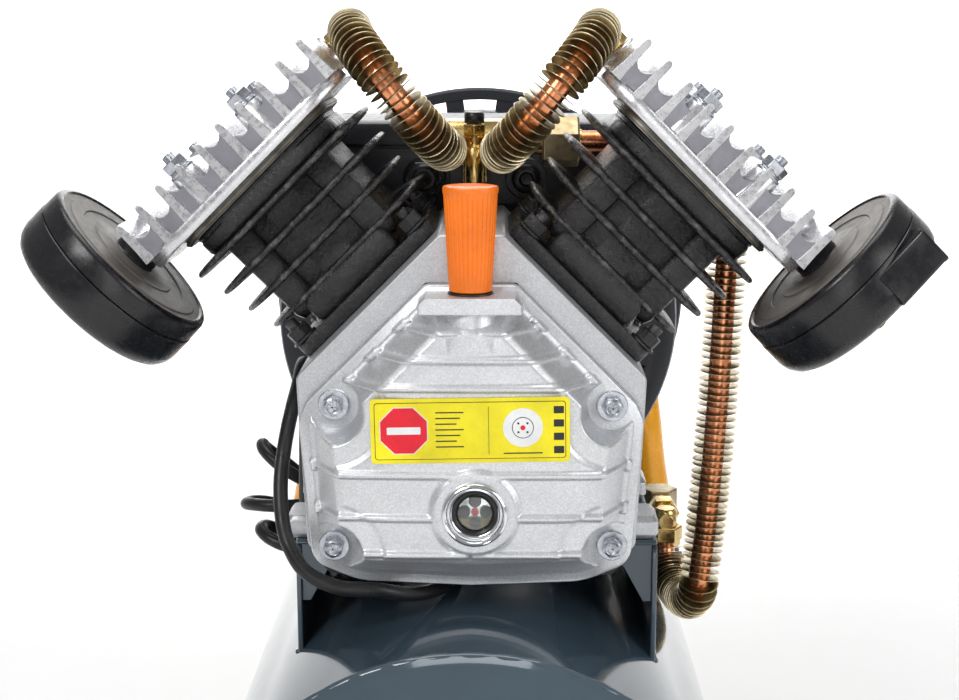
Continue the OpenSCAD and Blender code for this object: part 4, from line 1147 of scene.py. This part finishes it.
def fan_cowl():
    """A drum open over the receiver, with a slotted guard ring round its back."""
    part = Part("fan_cowl_shell", "cowl_plastic", ["box", "black"])
    r, front, back = DRUM_R, COWL_LOW.y, COWL_HIGH.y
    drum = [(r - 17, front + 2.5), (r - 17, front + 0.9), (r - 6, front), (r - 1.5, front + 1.9),
            (r, front + 6), (r, back - 1), (r - 16, back), (r - 16, back - 3), (r - 4, back - 4),
            (r - 3.2, back - 14), (r - 3.2, front + 6), (r - 5, front + 2.5)]
    part.sector(drum, 144, 396, ALONG_CRANK)
    # front annulus with slots between radial bars
    part.lathe([(MOTOR_R + 0.6, front + 0.5), (MOTOR_R + 14, front + 0.5), (MOTOR_R + 14, front + 3.2),
                (MOTOR_R + 0.6, front + 3.2)], ALONG_CRANK, 96, loop=True)
    bars = 28
    for i in range(bars):
        angle = 360 * i / bars
        if abs(angle - 180) > 54:          # none over the rails and the receiver
            part.box((-5.4, front + 0.6, MOTOR_R + 13), (5.4, front + 3.2, r - 16), turn(angle, "Y"))
    # guard ring outside the drum
    ring = COWL_HIGH.x
    part.sector([(ring - 8.5, back - 12), (ring - 1.5, back - 12), (ring, back - 10), (ring, back - 1.5),
                 (ring - 1.5, back), (ring - 8.5, back)], 122, 418, ALONG_CRANK)
    for i in range(24):
        angle = 15 * i + 7.5
        if abs(angle - 180) > 33:
            part.box((-6.5, back - 11, r - 1), (6.5, back - 1, ring - 8), turn(angle, "Y"))
    # back grille: rings and spokes
    for radius in (30, 46, 62, 78, 94, 110, 121):
        wire = [(radius - 1.6, back - 3.6), (radius + 1.6, back - 3.6), (radius + 1.2, back - 0.4),
                (radius - 1.2, back - 0.4)]
        if radius < 100:
            part.lathe(wire, ALONG_CRANK, 96, loop=True)
        else:
            part.sector(wire, 128, 412, ALONG_CRANK)
    part.lathe([(22, back - 4), (22, back - 0.8), (18, back), (0.5, back)], ALONG_CRANK)
    for i in range(12):
        reach = 94 if i == 6 else r - 14
        part.box((-1.9, back - 4.4, 20), (1.9, back - 1.2, reach), turn(30 * i, "Y"))
    part.done(bevel=0.4, replaces=["fan_cowl"])


def cooling_fan():
    low, high = box_mm("cooling_fan")
    middle_y = (low.y + high.y) / 2
    part = Part("motor_cooling_fan", "fan_plastic", ["black"])
    part.lathe([(13, low.y + 1), (22, low.y + 1), (24, low.y + 3), (24, high.y - 2), (22, high.y),
                (3, high.y)],
               ALONG_CRANK)
    tip = high.z - 2
    for i in range(7):
        where = turn(360 * i / 7, "Y")
        sections = []
        for k in range(7):
            s = k / 6
            radius = 20 + (tip - 20) * s
            pitch = math.radians(48 - 22 * s)
            chord = 14 + 8 * s
            dx, dy = chord * math.cos(pitch) * 0.95, min(12.5, chord * math.sin(pitch) * 0.8)
            sections.append([(-dx, middle_y - dy, radius), (0, middle_y - 2.2, radius),
                             (dx, middle_y + dy, radius), (dx, middle_y + dy + 1.4, radius),
                             (0, middle_y + 0.2, radius), (-dx, middle_y - dy + 1.8, radius)])
        part.loft(sections, where)
    part.done("motor_rotor", angle=40, replaces=["cooling_fan"])


BOX_LOW, BOX_HIGH = box_mm("terminal_box")
GLAND = centre_mm("cable_gland")
BUTTON = centre_mm("reset_button")


def terminal_box():
    part = Part("capacitor_box", "cowl_plastic", ["box", "black"])
    cx, cy = (BOX_LOW.x + BOX_HIGH.x) / 2, (BOX_LOW.y + BOX_HIGH.y) / 2
    hx, hy = (BOX_HIGH.x - BOX_LOW.x) / 2, (BOX_HIGH.y - BOX_LOW.y) / 2
    lid = BOX_HIGH.z - 14
    levels = [(BOX_LOW.z, 4.5), (BOX_LOW.z + 3, 2.0), (lid - 0.8, 1.6), (lid - 0.7, 3.2), (lid + 0.5, 3.2),
              (lid + 0.6, 0.0), (BOX_HIGH.z - 5, 0.6), (BOX_HIGH.z - 1.5, 2.2), (BOX_HIGH.z - 0.2, 6)]
    part.case(hx, hy, 9, levels, shift(cx, cy, 0))
    front = shift(cx, BOX_LOW.y + 2.0, 0) @ UPRIGHT
    for x0, x1 in ((-hx + 10, -28), (-20, hx - 10)):
        outline = rounded_box((x1 - x0) / 2, 17, 2, 3)
        part.prism(outline, 0.0, 1.3, front @ shift((x0 + x1) / 2, BOX_LOW.z + 22, 0), 0.5)
    for x, y in CORNERS:
        screw = shift(cx + x * (hx - 14), cy + y * (hy - 14), BOX_HIGH.z - 0.9)
        part.lathe([(4.2, 0), (4.2, 0.8), (3.4, 1.0)], screw, 24, 1)
    part.done(bevel=0.35, replaces=["terminal_box"])


def cable_gland():
    face = shift(GLAND.x, BOX_LOW.y, GLAND.z) @ UPRIGHT
    part = Part("lead_gland", "cowl_plastic", ["black"])
    part.lathe([(13.2, 0.4), (13.2, 2.4), (12.2, 3.0)], face, 40)
    part.nut(20, 2.8, 6, face)
    part.lathe([(9.2, 5.8), (9.4, 6.6), (9.0, 7.8), (7.4, 9.4), (5.4, 9.9), (4.5, 9.6)], face, 40)
    part.done(bevel=0.2, replaces=["cable_gland"])


def reset_button():
    face = shift(BUTTON.x, BOX_LOW.y, BUTTON.z) @ UPRIGHT
    part = Part("overload_reset_button", "cowl_plastic", ["black", "ink"])
    part.lathe([(8.8, 2.9), (8.8, 4.2), (7.6, 5.8), (7.2, 8.6), (5.6, 9.2), (4.6, 9.2), (3.4, 6.5),
                (0.4, 6.2)], face, 48, [0] * 5 + [1, 1])
    part.done("overload_button", angle=35, replaces=["reset_button"])
    collar = Part("overload_button_collar", "cowl_plastic", ["black"])
    collar.lathe([(9.4, 0.2), (12.8, 0.2), (12.8, 1.8), (12.0, 2.7), (9.4, 2.7)], face, 48, loop=True)
    collar.done(angle=35)


# ---------------------------------------------------------------- receiver and running gear


TANK_LOW, TANK_HIGH = box_mm("tank_shell")
ENDS_LOW, ENDS_HIGH = box_mm("tank_ends")
TANK_R = TANK_HIGH.x
TANK_Z = (ENDS_LOW.z + ENDS_HIGH.z) / 2
DISH = TANK_LOW.y - ENDS_LOW.y
TANK_PLACE = shift(0, 0, TANK_Z) @ ALONG_CRANK


def tank():
    shell = Part("receiver_shell", "tank_paint", ["tank"])
    front, back = TANK_LOW.y, TANK_HIGH.y
    r = TANK_R
    shell.lathe([(r - 2.5, front + 1), (r - 0.2, front + 1.5), (r, front + 3), (r, back - 3),
                 (r - 0.2, back - 1.5), (r - 2.5, back - 1)], TANK_PLACE, 160)
    # longitudinal weld, low on one side, and the bosses for the fittings
    weld_z, weld_x = polar(r, math.radians(200))
    weld = [Vector((weld_x, y, TANK_Z + weld_z - 0.2)) for y in range(int(front) + 4, int(back) - 4, 6)]
    shell.tube(weld, 2.2, 8)
    for node, radius, rise in (("check_valve", 15, 20.5), ("pressure_switch", 15, 8)):
        spot = centre_mm(node)
        base = TANK_Z + math.sqrt(r * r - spot.x ** 2)
        shell.lathe([(radius + 3, base - 6), (radius + 1, base + 0.4), (radius, base + 2),
                     (radius, base + rise - 1), (radius - 1, base + rise)], shift(spot.x, spot.y, 0), 40)
    drain = centre_mm("drain_valve")
    shell.lathe([(12, TANK_Z - r - 6), (13, TANK_Z - r - 5), (13, TANK_Z - r), (16, TANK_Z - r + 4)],
                shift(drain.x, drain.y, 0), 40)
    shell.done(angle=50, replaces=["tank_shell"])

    # the dished ends take the lighter copy of the slate enamel: painted light
    ends = Part("receiver_dished_ends", "tank_paint", ["tank_end"])
    sphere = (r * r + DISH * DISH) / (2 * DISH)
    top = math.acos((sphere - DISH) / sphere)
    for y, way in ((front, -1), (back, 1)):
        profile = [(r - 3.0, -1.5), (r - 0.6, -0.9), (r - 0.1, 0.2), (r - 0.3, 1.6)]
        for k in range(1, 25):
            a = top * (1 - k / 24)
            profile.append((max(0.4, sphere * math.sin(a)), sphere * math.cos(a) - (sphere - DISH)))
        place = shift(0, y, TANK_Z) @ (UPRIGHT if way < 0 else ALONG_CRANK)
        ends.lathe(profile, place, 160)
        seam = []
        for k in range(160):
            a = math.tau * k / 160
            bead = 1.5 + 0.25 * math.sin(k * 2.1)
            seam.append([(*polar(r - 0.9 + out, a), -0.2 + 1.6 * up) for out, up in circle(bead, 8)])
        ends.loft(seam, place, caps=False, loop=True)
    ends.done(angle=50, replaces=["tank_ends"])


RAIL_LOW, RAIL_HIGH = box_mm("saddle_rails")
RAIL_X = 98.5
RAIL_MID = 2.5


def saddle():
    part = Part("saddle_rail_pressings", "tank_paint", ["tank"])
    top, front, back = RAIL_HIGH.z, RAIL_LOW.y, RAIL_HIGH.y
    for side in SIDES:
        x = RAIL_MID + side * RAIL_X
        foot = TANK_Z + math.sqrt(TANK_R ** 2 - x ** 2)
        web = [(front, foot - 1.5), (back, foot - 1.5), (back, top - 1.5), (front, top - 1.5)]
        part.prism(filleted(web, [1, 1, 8, 8], 5), -1.5, 1.5, shift(x, 0, 0) @ SIDEWAYS, 0.5)
        flange = RAIL_MID + side * (RAIL_X - 14)
        part.box((flange - 15.4, front, top - 3), (flange + 15.4, back, top - 0.05), edge=2)
        for y in (front + 3, (front + back) / 2, back - 6):     # gussets from rail to flange
            gusset = [(x - side * 1.4, top - 3), (x - side * 1.4, top - 36), (x - side * 6, top - 36),
                      (x - side * 24, top - 3)]
            gusset = gusset if side < 0 else gusset[::-1]
            part.prism(gusset, -y - 3, -y, UPRIGHT)
        weld = [Vector((x + side * 1.4, y, foot - 1.8 + 0.4 * math.sin(y * 0.9))) for y in
                range(int(front) + 2, int(back), 3)]
        part.tube(weld, 2.0, 8)
    part.done(bevel=0.4, replaces=["saddle_rails"])


WHEELS = {-1: centre_mm("left_tyre"), 1: centre_mm("right_tyre")}
WHEEL_R = 100.0
FEET_LOW, FEET_HIGH = box_mm("rubber_feet")


def chassis():
    part = Part("axle_and_foot_brackets", "tank_paint", ["tank"])
    for side in SIDES:
        c = WHEELS[side]
        wall = side * 163
        part.prism(filleted([(-30, -22), (30, -22), (30, 48), (-30, 48)], [10, 10, 4, 4], 5), -3, 3,
                   shift(wall, c.y, c.z) @ SIDEWAYS, 0.6)
        for y in (-28, 28):
            z_low, z_high = -22, 48
            inner = [math.sqrt(max(0, TANK_R ** 2 - (c.z + z - TANK_Z) ** 2)) - 1 for z in (z_low, z_high)]
            web = [(inner[0], z_low), (162, z_low), (162, z_high), (inner[1], z_high)]
            web = [(side * x, c.z + z) for x, z in web]
            web = web if side > 0 else web[::-1]
            part.prism(web, -(c.y + y) - 2, -(c.y + y) + 2, UPRIGHT, 0.4)
    y0, y1 = FEET_LOW.y - 2, FEET_HIGH.y + 2
    z0 = FEET_HIGH.z
    part.box((-120, y0, z0), (120, y1, z0 + 4), edge=3)
    steps = 20
    for y in (y0 + 2, y1 - 2):
        outline = [(-118 + 236 * k / steps, z0 + 2) for k in range(steps + 1)]
        outline += [(x, TANK_Z - math.sqrt(TANK_R ** 2 - x * x) + 1) for x, _ in reversed(outline)]
        part.prism(outline, -y - 2, -y + 2, UPRIGHT)
    part.done(bevel=0.4, replaces=["chassis_brackets"])
    feet = Part("ribbed_rubber_feet", "rubber", ["rubber", "zinc"])
    for side in SIDES:
        where = shift(side * (FEET_HIGH.x - 18), (FEET_LOW.y + FEET_HIGH.y) / 2, FEET_LOW.z)
        feet.lathe([(15.5, 0), (17.4, 0.8), (18, 2.5), (17, 6), (16.2, 7), (17.2, 8), (16.6, 13), (15.8, 14),
                    (16.6, 15), (16, 20.5), (15, 21.9)], where, 48)
        feet.nut(13, 0, 7, where @ shift(0, 0, 26), 1)
    feet.done(angle=50, replaces=["rubber_feet"])


def wheels():
    for side in SIDES:
        name = SIDE_NAME[side]
        c = WHEELS[side]
        body = name + "_wheel"
        axle = Matrix.Translation(c) @ turn(90, "Y")
        tyre = Part(name + "_ribbed_tyre", "tyre", ["tyre"])
        profile = [(73, -16), (76, -19.5), (84, -20.8), (92, -19), (97, -15)]
        for k in range(-2, 3):
            z = k * 5.4
            profile += [(WHEEL_R - 0.3 - abs(k) * 0.35, z - 1.9), (WHEEL_R - 0.1 - abs(k) * 0.35, z - 1.2),
                        (WHEEL_R - 0.1 - abs(k) * 0.35, z + 1.2), (WHEEL_R - 0.3 - abs(k) * 0.35, z + 1.9),
                        (97.2 - abs(k) * 0.3, z + 2.3), (97.2 - abs(k) * 0.3, z + 3.0)]
        profile += [(97, 15), (92, 19), (84, 20.8), (76, 19.5), (73, 16)]
        tyre.lathe(profile, axle, 96, loop=True)
        tyre.done(body, angle=30, replaces=[name + "_tyre"])
        hub = Part(name + "_spoked_hub", "hub_plastic", ["black"])
        hub.lathe([(66, -17), (73.2, -17.6), (72.6, -4), (72.6, 4), (73.2, 17.6), (66, 17), (67.5, 6),
                   (67.5, -6)],
                  axle, 96, loop=True)
        hub.lathe([(8.3, -21.5), (14, -21.5), (16.6, -19), (17.6, 0), (16.6, 19), (14, 21.5), (8.3, 21.5)],
                  axle, 48, loop=True)
        hub.lathe([(16, -3.4), (66, -2.2), (68, -4), (68, 4), (66, 2.2), (16, 3.4)], axle, 96, loop=True)
        for k in range(10):
            hub.box((16, -2.4, -12 if k % 2 else -9), (68, 2.4, 12 if k % 2 else 9),
                    axle @ turn(36 * k, "Z"), 1)
        hub.done(body, bevel=0.6, replaces=[name + "_wheel_hub"])
    bolts = Part("stub_axle_bolts", "zinc", ["zinc"])
    for side in SIDES:
        c = WHEELS[side]
        axle = shift(0, c.y, c.z) @ turn(90 * side, "Y")
        bolts.nut(24, 148, 159.4, axle)
        bolts.lathe([(8, 158), (8, 228.5), (7, 229.8)], axle, 32)
        bolts.lathe([(15, 216.0), (15, 217.0)], axle, 40)
        bolts.nut(22, 217.1, 226, axle)
    bolts.done(bevel=0.4, replaces=["axle_bolts"])


HANDLE_LEG = [(160, 562, -264), (156, 562, -232), (152, 562, -213), (146.5, 562, -180), (142, 562, -141),
              (136, 570, -95), (128, 592, -35), (119, 614, 18), (104, 630, 50), (84, 635, 62), (68, 635, 62)]
GRIP_LOW, GRIP_HIGH = box_mm("handle_grip")
HANDLE_R = 15.0


def push_handle():
    part = Part("bent_tube_handle", "orange_paint", ["amber", "tank"])
    route = HANDLE_LEG + [(-x, y, z) for x, y, z in reversed(HANDLE_LEG)]
    part.tube(spline(route, 8), HANDLE_R, 32)
    for side in SIDES:
        part.box((side * 153.3 - 2.9, 500, -266), (side * 153.3 + 2.9, 562, -240), edge=1, mat=1)
    part.done(angle=50, replaces=["push_handle"])
    grip = Part("handle_foam_grip", "rubber", ["rubber"])
    centre = (GRIP_LOW + GRIP_HIGH) / 2
    radius = (GRIP_HIGH.z - GRIP_LOW.z) / 2
    half = GRIP_HIGH.x
    profile = [(HANDLE_R + 0.3, -half + 1), (radius - 1.2, -half), (radius, -half + 2)]
    ridge = -half + 8
    while ridge < half - 8:
        profile += [(radius, ridge), (radius - 1.1, ridge + 0.9), (radius - 1.1, ridge + 1.8),
                    (radius, ridge + 2.7)]
        ridge += 6
    profile += [(radius, half - 2), (radius - 1.2, half), (HANDLE_R + 0.3, half - 1)]
    grip.lathe(profile, shift(0, centre.y, centre.z) @ turn(90, "Y"), loop=True)
    grip.done(angle=40, replaces=["handle_grip"])


# ---------------------------------------------------------------- controls and wiring


SWITCH_LOW, SWITCH_HIGH = box_mm("pressure_switch")


def pressure_switch():
    c = (SWITCH_LOW + SWITCH_HIGH) / 2
    part = Part("pressure_switch_case", "switch_plastic", ["black", "brass", "zinc"])
    base = SWITCH_LOW.z + 12
    spot = shift(c.x, c.y, 0)
    part.nut(24, base, base + 10, spot, 1)
    part.lathe([(8, base + 8), (8, base + 16)], spot, 32, 1)
    top = SWITCH_HIGH.z
    hx, hy = 32.0, 36.0
    levels = [(base + 14, 1.5), (base + 15.5, 0.2), (base + 30, 0), (base + 30.4, 1.0), (base + 31.4, 1.0),
              (base + 31.8, 0), (top - 8, 0.8), (top - 2.5, 2.4), (top, 6)]
    part.case(hx, hy, 8, levels, spot)
    for x in SIDES:
        part.lathe([(3.4, 0), (3.4, 1.2), (2.6, 1.5)], spot @ shift(x * 22, -25, top - 1.2), 24, 2)
    part.lathe([(8, 0), (8, 5), (6.4, 7)], shift(c.x, c.y - hy, base + 24) @ UPRIGHT, 32)
    part.done(bevel=0.3, replaces=["pressure_switch"])
    knob = centre_mm("switch_knob")
    _, high = box_mm("switch_knob")
    cap = Part("pressure_switch_knob", "red_plastic", ["red", "black"])
    cap.lathe([(6.8, high.z - 21), (6.8, high.z - 12.2)], shift(knob.x, knob.y, 0), 32, 1)
    cap.lathe([(11.5, high.z - 11.8), (13.2, high.z - 10), (12.4, high.z - 6), (13.8, high.z - 3),
               (13.6, high.z - 1), (12, high.z), (4, high.z - 0.8)], shift(knob.x, knob.y, 0), 48)
    for k in range(20):
        cap.box((12.2, -0.6, high.z - 9.5), (13.9, 0.6, high.z - 1.2), shift(knob.x, knob.y,
                                                                             0) @ turn(18 * k, "Z"))
    cap.done("switch_knob_body", bevel=0.2, replaces=["switch_knob"])


def air_outlet():
    knob_low, knob_high = box_mm("regulator_knob")
    x, y = (knob_low.x + knob_high.x) / 2, (knob_low.y + knob_high.y) / 2
    z = knob_low.z - 24.3
    part = Part("regulator_and_outlet", "brass", ["brass", "steel", "black", "label_white", "ink"])
    part.rod((32, y, z), (x - 12, y, z), 7, 32)
    part.nut(17, 0, 8, shift(32.2, y, z) @ turn(90, "Y"))
    spot = shift(x, y, 0)
    part.case(14, 14, 5, [(z - 14, 1.5), (z - 12.5, 0), (z + 14, 0), (z + 16, 1)], spot, 5)
    part.lathe([(13, z + 15), (13, z + 23.6), (12, z + 24)], spot, 40)
    out = shift(x, y, z) @ turn(90, "Y")
    part.nut(18, 13, 22, out)
    part.lathe([(6.6, 21), (6.6, 26), (5.2, 27), (5.2, 30), (6.6, 31), (6.6, 36.6), (5.6, 38)], out, 36, 1)
    dial = shift(x, y, z) @ ALONG_CRANK @ turn(180, "Z")
    part.lathe([(5, 13), (5, 21)], dial, 28)
    part.lathe([(17.5, 20.4), (19.6, 21), (20, 23), (20, 40), (19.4, 41.8), (18.2, 41.8), (18.0, 38.2),
                (17, 38.2)],
               dial, mat=2)
    face = dial @ shift(0, 0, 37.2)
    part.lathe([(17.9, 0), (17.9, 0.5)], face, 48, 3)
    for k in range(28):
        angle = 225 - 10 * k
        inner = 13.2 if k % 3 == 0 else 14.8
        part.box((inner, -0.22, 0.45), (16.6, 0.22, 0.62), face @ turn(angle, "Z"), mat=4)
    part.done(bevel=0.25, replaces=["air_outlet"])
    needle = Part("gauge_pointer", "switch_plastic", ["label_red", "ink"])
    tip = face @ turn(225, "Z")
    needle.prism([(-4, -0.9), (14.5, -0.25), (14.5, 0.25), (-4, 0.9)], 1.0, 1.5, tip)
    needle.lathe([(2.2, 0.8), (2.2, 1.7), (1.4, 2.2)], face, 24, 1)
    needle.done("needle", replaces=["gauge_needle"])
    glass = Part("gauge_window", "glass", ["glass"])
    glass.lathe([(18.1, 3.4), (18.1, 4.1), (17, 4.4)], face, 48)
    glass.done(angle=50)
    knob = Part("regulator_fluted_knob", "switch_plastic", ["black"])
    rings = [(0, 15.0, 0), (1.2, 15.8, 0.2), (4, 15.7, 1.6), (19, 14.6, 1.4), (22.4, 14.0, 0.6),
             (24, 12.4, 0), (23.4, 9, 0)]
    knob.loft([fluted(knob_low.z + h, r, depth, 12, 2, 144) for h, r, depth in rings], spot)
    knob.done("regulator_knob_body", angle=40, replaces=["regulator_knob"])


def check_and_drain_valves():
    low, high = box_mm("check_valve")
    c = (low + high) / 2
    part = Part("tank_check_valve", "brass", ["brass", "dull_brass"])
    spot = shift(c.x, c.y, 0)
    base = low.z + 10
    part.nut(27, base, base + 12, spot)
    part.lathe([(10.5, base + 11.5), (11, base + 13), (11, base + 22), (10, base + 24.5)], spot, 40)
    part.nut(22, base + 24, high.z, spot, 1)
    part.done(bevel=0.4, replaces=["check_valve"])
    low, high = box_mm("drain_valve")
    c = (low + high) / 2
    drain = Part("tank_drain_valve", "brass", ["brass"])
    spot = shift(c.x, c.y, 0)
    drain.lathe([(6.4, high.z - 13), (6.4, high.z - 1)], spot, 24)
    drain.nut(17, low.z + 8, low.z + 14, spot)
    drain.lathe([(5, low.z), (6, low.z + 1), (6, low.z + 8)], spot, 32)
    drain.done(bevel=0.3, replaces=["drain_valve"])
    low, high = box_mm("drain_tap")
    tap = Part("drain_tap_wing", "brass", ["brass"])
    tap.lathe([(4, high.z - 8), (5, high.z - 7), (5, high.z)], spot, 32)
    wing = [(2, 1.6, low.z + 0.5), (13, 1.2, low.z), (14, 1.2, low.z + 6), (9, 1.2, high.z - 3.4),
            (2, 1.6, high.z - 4)]
    for side in SIDES:
        tap.loft([[(side * x, face * y, z) for x, y, z in wing] for face in (side, -side)], spot)
    tap.done("drain_tap_body", bevel=0.4, replaces=["drain_tap"])


LEAD_D = 8.0
LEAD_DOWN = [(-31, 154, 108), (-31, 147, 108), (-34, 141, 106.5), (-43, 138.3, 101), (-62, 140, 86),
             (-84, 148, 60), (-93, 160, 30), (-97, 175, 0), (-100, 184, -27), (-101.6, 183, -55),
             (-102, 175, -74)]
# each stage of the slack: middle X, radius, middle Z, tilt
SLACK = [(-118.5, 16.5, -73, 12), (-124, 22, -103, 3), (-120, 17, -128, 12)]
SLACK_Y = 160
LEAD_ON = [(-103.5, 140, -137), (-103, 122, -118), (-102.4, 110, -85), (-100.4, 100, -45), (-98.5, 90, -8),
           (-97.4, 78, 8), (-97.4, 66, 9), (-98.2, 50, 1), (-99.7, 32, -9), (-101.5, 14, -24),
           (-102.5, 2, -42), (-100.5, -8, -60), (-96, -15, -72), (-87, -19.5, -84), (-70, -20.5, -92),
           (-50, -18.5, -94), (-34, -9.5, -99.6), (-21, 6, -103), (-12, 30, -104.3), (-9, 70, -104.5),
           (-8, 140, -104.5), (-6, 240, -104.5), (-4, 340, -104.5), (-2, 400, -103), (-1, 418, -92),
           (0, 427, -79), (0, 433.4, -78)]


def lead_loops():
    """Three turns of slack beside the motor."""
    points = []
    for k in range(12 * len(SLACK) + 1):
        u = k / 12
        v = min(max(u - 0.5, 0), len(SLACK) - 1)
        i = min(int(v), len(SLACK) - 2)
        x, r, z, tilt = [a + (b - a) * (v - i) for a, b in zip(SLACK[i], SLACK[i + 1])]
        points.append((x + r * math.cos(math.tau * u), SLACK_Y - r * math.sin(math.tau * u),
                       z - tilt * math.cos(math.tau * u)))
    return points


def motor_lead():
    part = Part("motor_lead_sheath", "lead_rubber", ["lead"])
    part.tube(spline(LEAD_DOWN + lead_loops() + LEAD_ON, 6), LEAD_D / 2, 20)
    part.done(angle=60, replaces=["motor_lead"])


# ---------------------------------------------------------------- stage


def stage():
    floor_z = 0.0
    width, depth, rise, bend = 9.0, 4.2, 5.0, 1.6
    profile = [(-6.0, floor_z), (depth - bend, floor_z)]
    for k in range(1, 17):
        a = math.pi / 2 * k / 16
        profile.append((depth - bend + bend * math.sin(a), floor_z + bend - bend * math.cos(a)))
    profile.append((depth, floor_z + rise))
    mesh = bpy.data.meshes.new("studio_sweep")
    points = [(x, y, z) for y, z in profile for x in (-width, width)]
    faces = [(2 * i, 2 * i + 1, 2 * i + 3, 2 * i + 2) for i in range(len(profile) - 1)]
    mesh.from_pydata(points, [], faces)
    mesh.shade_smooth()
    paper = Nodes("studio_paper", (0.93, 0.93, 0.93), 0.9, 0.0, Specular_IOR_Level=0.1)
    paper.color(paper.ramp(paper.noise(3), [(0.3, (0.92, 0.92, 0.92)), (0.7, (0.95, 0.95, 0.95))]))
    mesh.materials.append(paper.material)
    add_object("studio_sweep", mesh)


def area_light(name, place, target, size, power, tall=None):
    data = bpy.data.lights.new(name, "AREA")
    data.shape = "RECTANGLE"
    data.size, data.size_y = size, tall or size
    data.energy = power
    lamp = add_object(name, data)
    lamp.location = place
    lamp.rotation_euler = (Vector(target) - Vector(place)).to_track_quat("-Z", "Y").to_euler()


def lighting():
    world = bpy.data.worlds.new("studio")
    world.use_nodes = True
    background = world.node_tree.nodes["Background"]
    background.inputs["Color"].default_value = (1.0, 1.0, 1.0, 1.0)
    background.inputs["Strength"].default_value = 0.30
    bpy.context.scene.world = world
    target = CRANK + Vector((0, 0.1, 0.05))
    area_light("key", CRANK + Vector((-1.1, -1.5, 1.5)), target, 1.0, 24)
    area_light("fill", CRANK + Vector((1.7, -1.0, 0.6)), target, 1.2, 12)
    area_light("front", CRANK + Vector((0.1, -2.2, 0.2)), target, 0.9, 6, 1.6)
    area_light("top", CRANK + Vector((0, 0.4, 2.2)), target, 1.6, 24)
    area_light("sweep", Vector((0, 3.0, 2.6)), Vector((0, 4.0, 0.8)), 3.0, 120, 1.0)
    bpy.context.scene.view_settings.view_transform = "Standard"
    bpy.context.scene.view_settings.look = "None"


EYE = Vector((14.8, -851.5, 204.1))     # the camera, in millimetres from the crank
LOOK_DOWN = 11.4
LOOK_RIGHT = -0.7
FIELD = 1650.0 / 959.0                  # focal length over image width


def camera():
    data = bpy.data.cameras.new("camera")
    data.sensor_width = 36.0
    data.lens = FIELD * data.sensor_width
    data.clip_start, data.clip_end = 0.02, 50
    eye = add_object("camera", data)
    eye.location = PLACE @ EYE
    eye.rotation_euler = (math.radians(90 - LOOK_DOWN), 0, math.radians(-LOOK_RIGHT))
    bpy.context.scene.camera = eye


camera()
lighting()
stage()
front_cover()
cover_bolts()
label()
sight_glass()
oil_plug()
for bank_side in SIDES:
    cylinder(bank_side)
    head(bank_side)
cylinder_nuts()
valve_plates()
head_bolts()
inner_works()
crankcase()
filters()
cooling_pipes()
pipe_fittings()
safety_valve()
motor_housing()
fan_cowl()
cooling_fan()
terminal_box()
cable_gland()
reset_button()
tank()
saddle()
chassis()
wheels()
push_handle()
pressure_switch()
air_outlet()
check_and_drain_valves()
motor_lead()
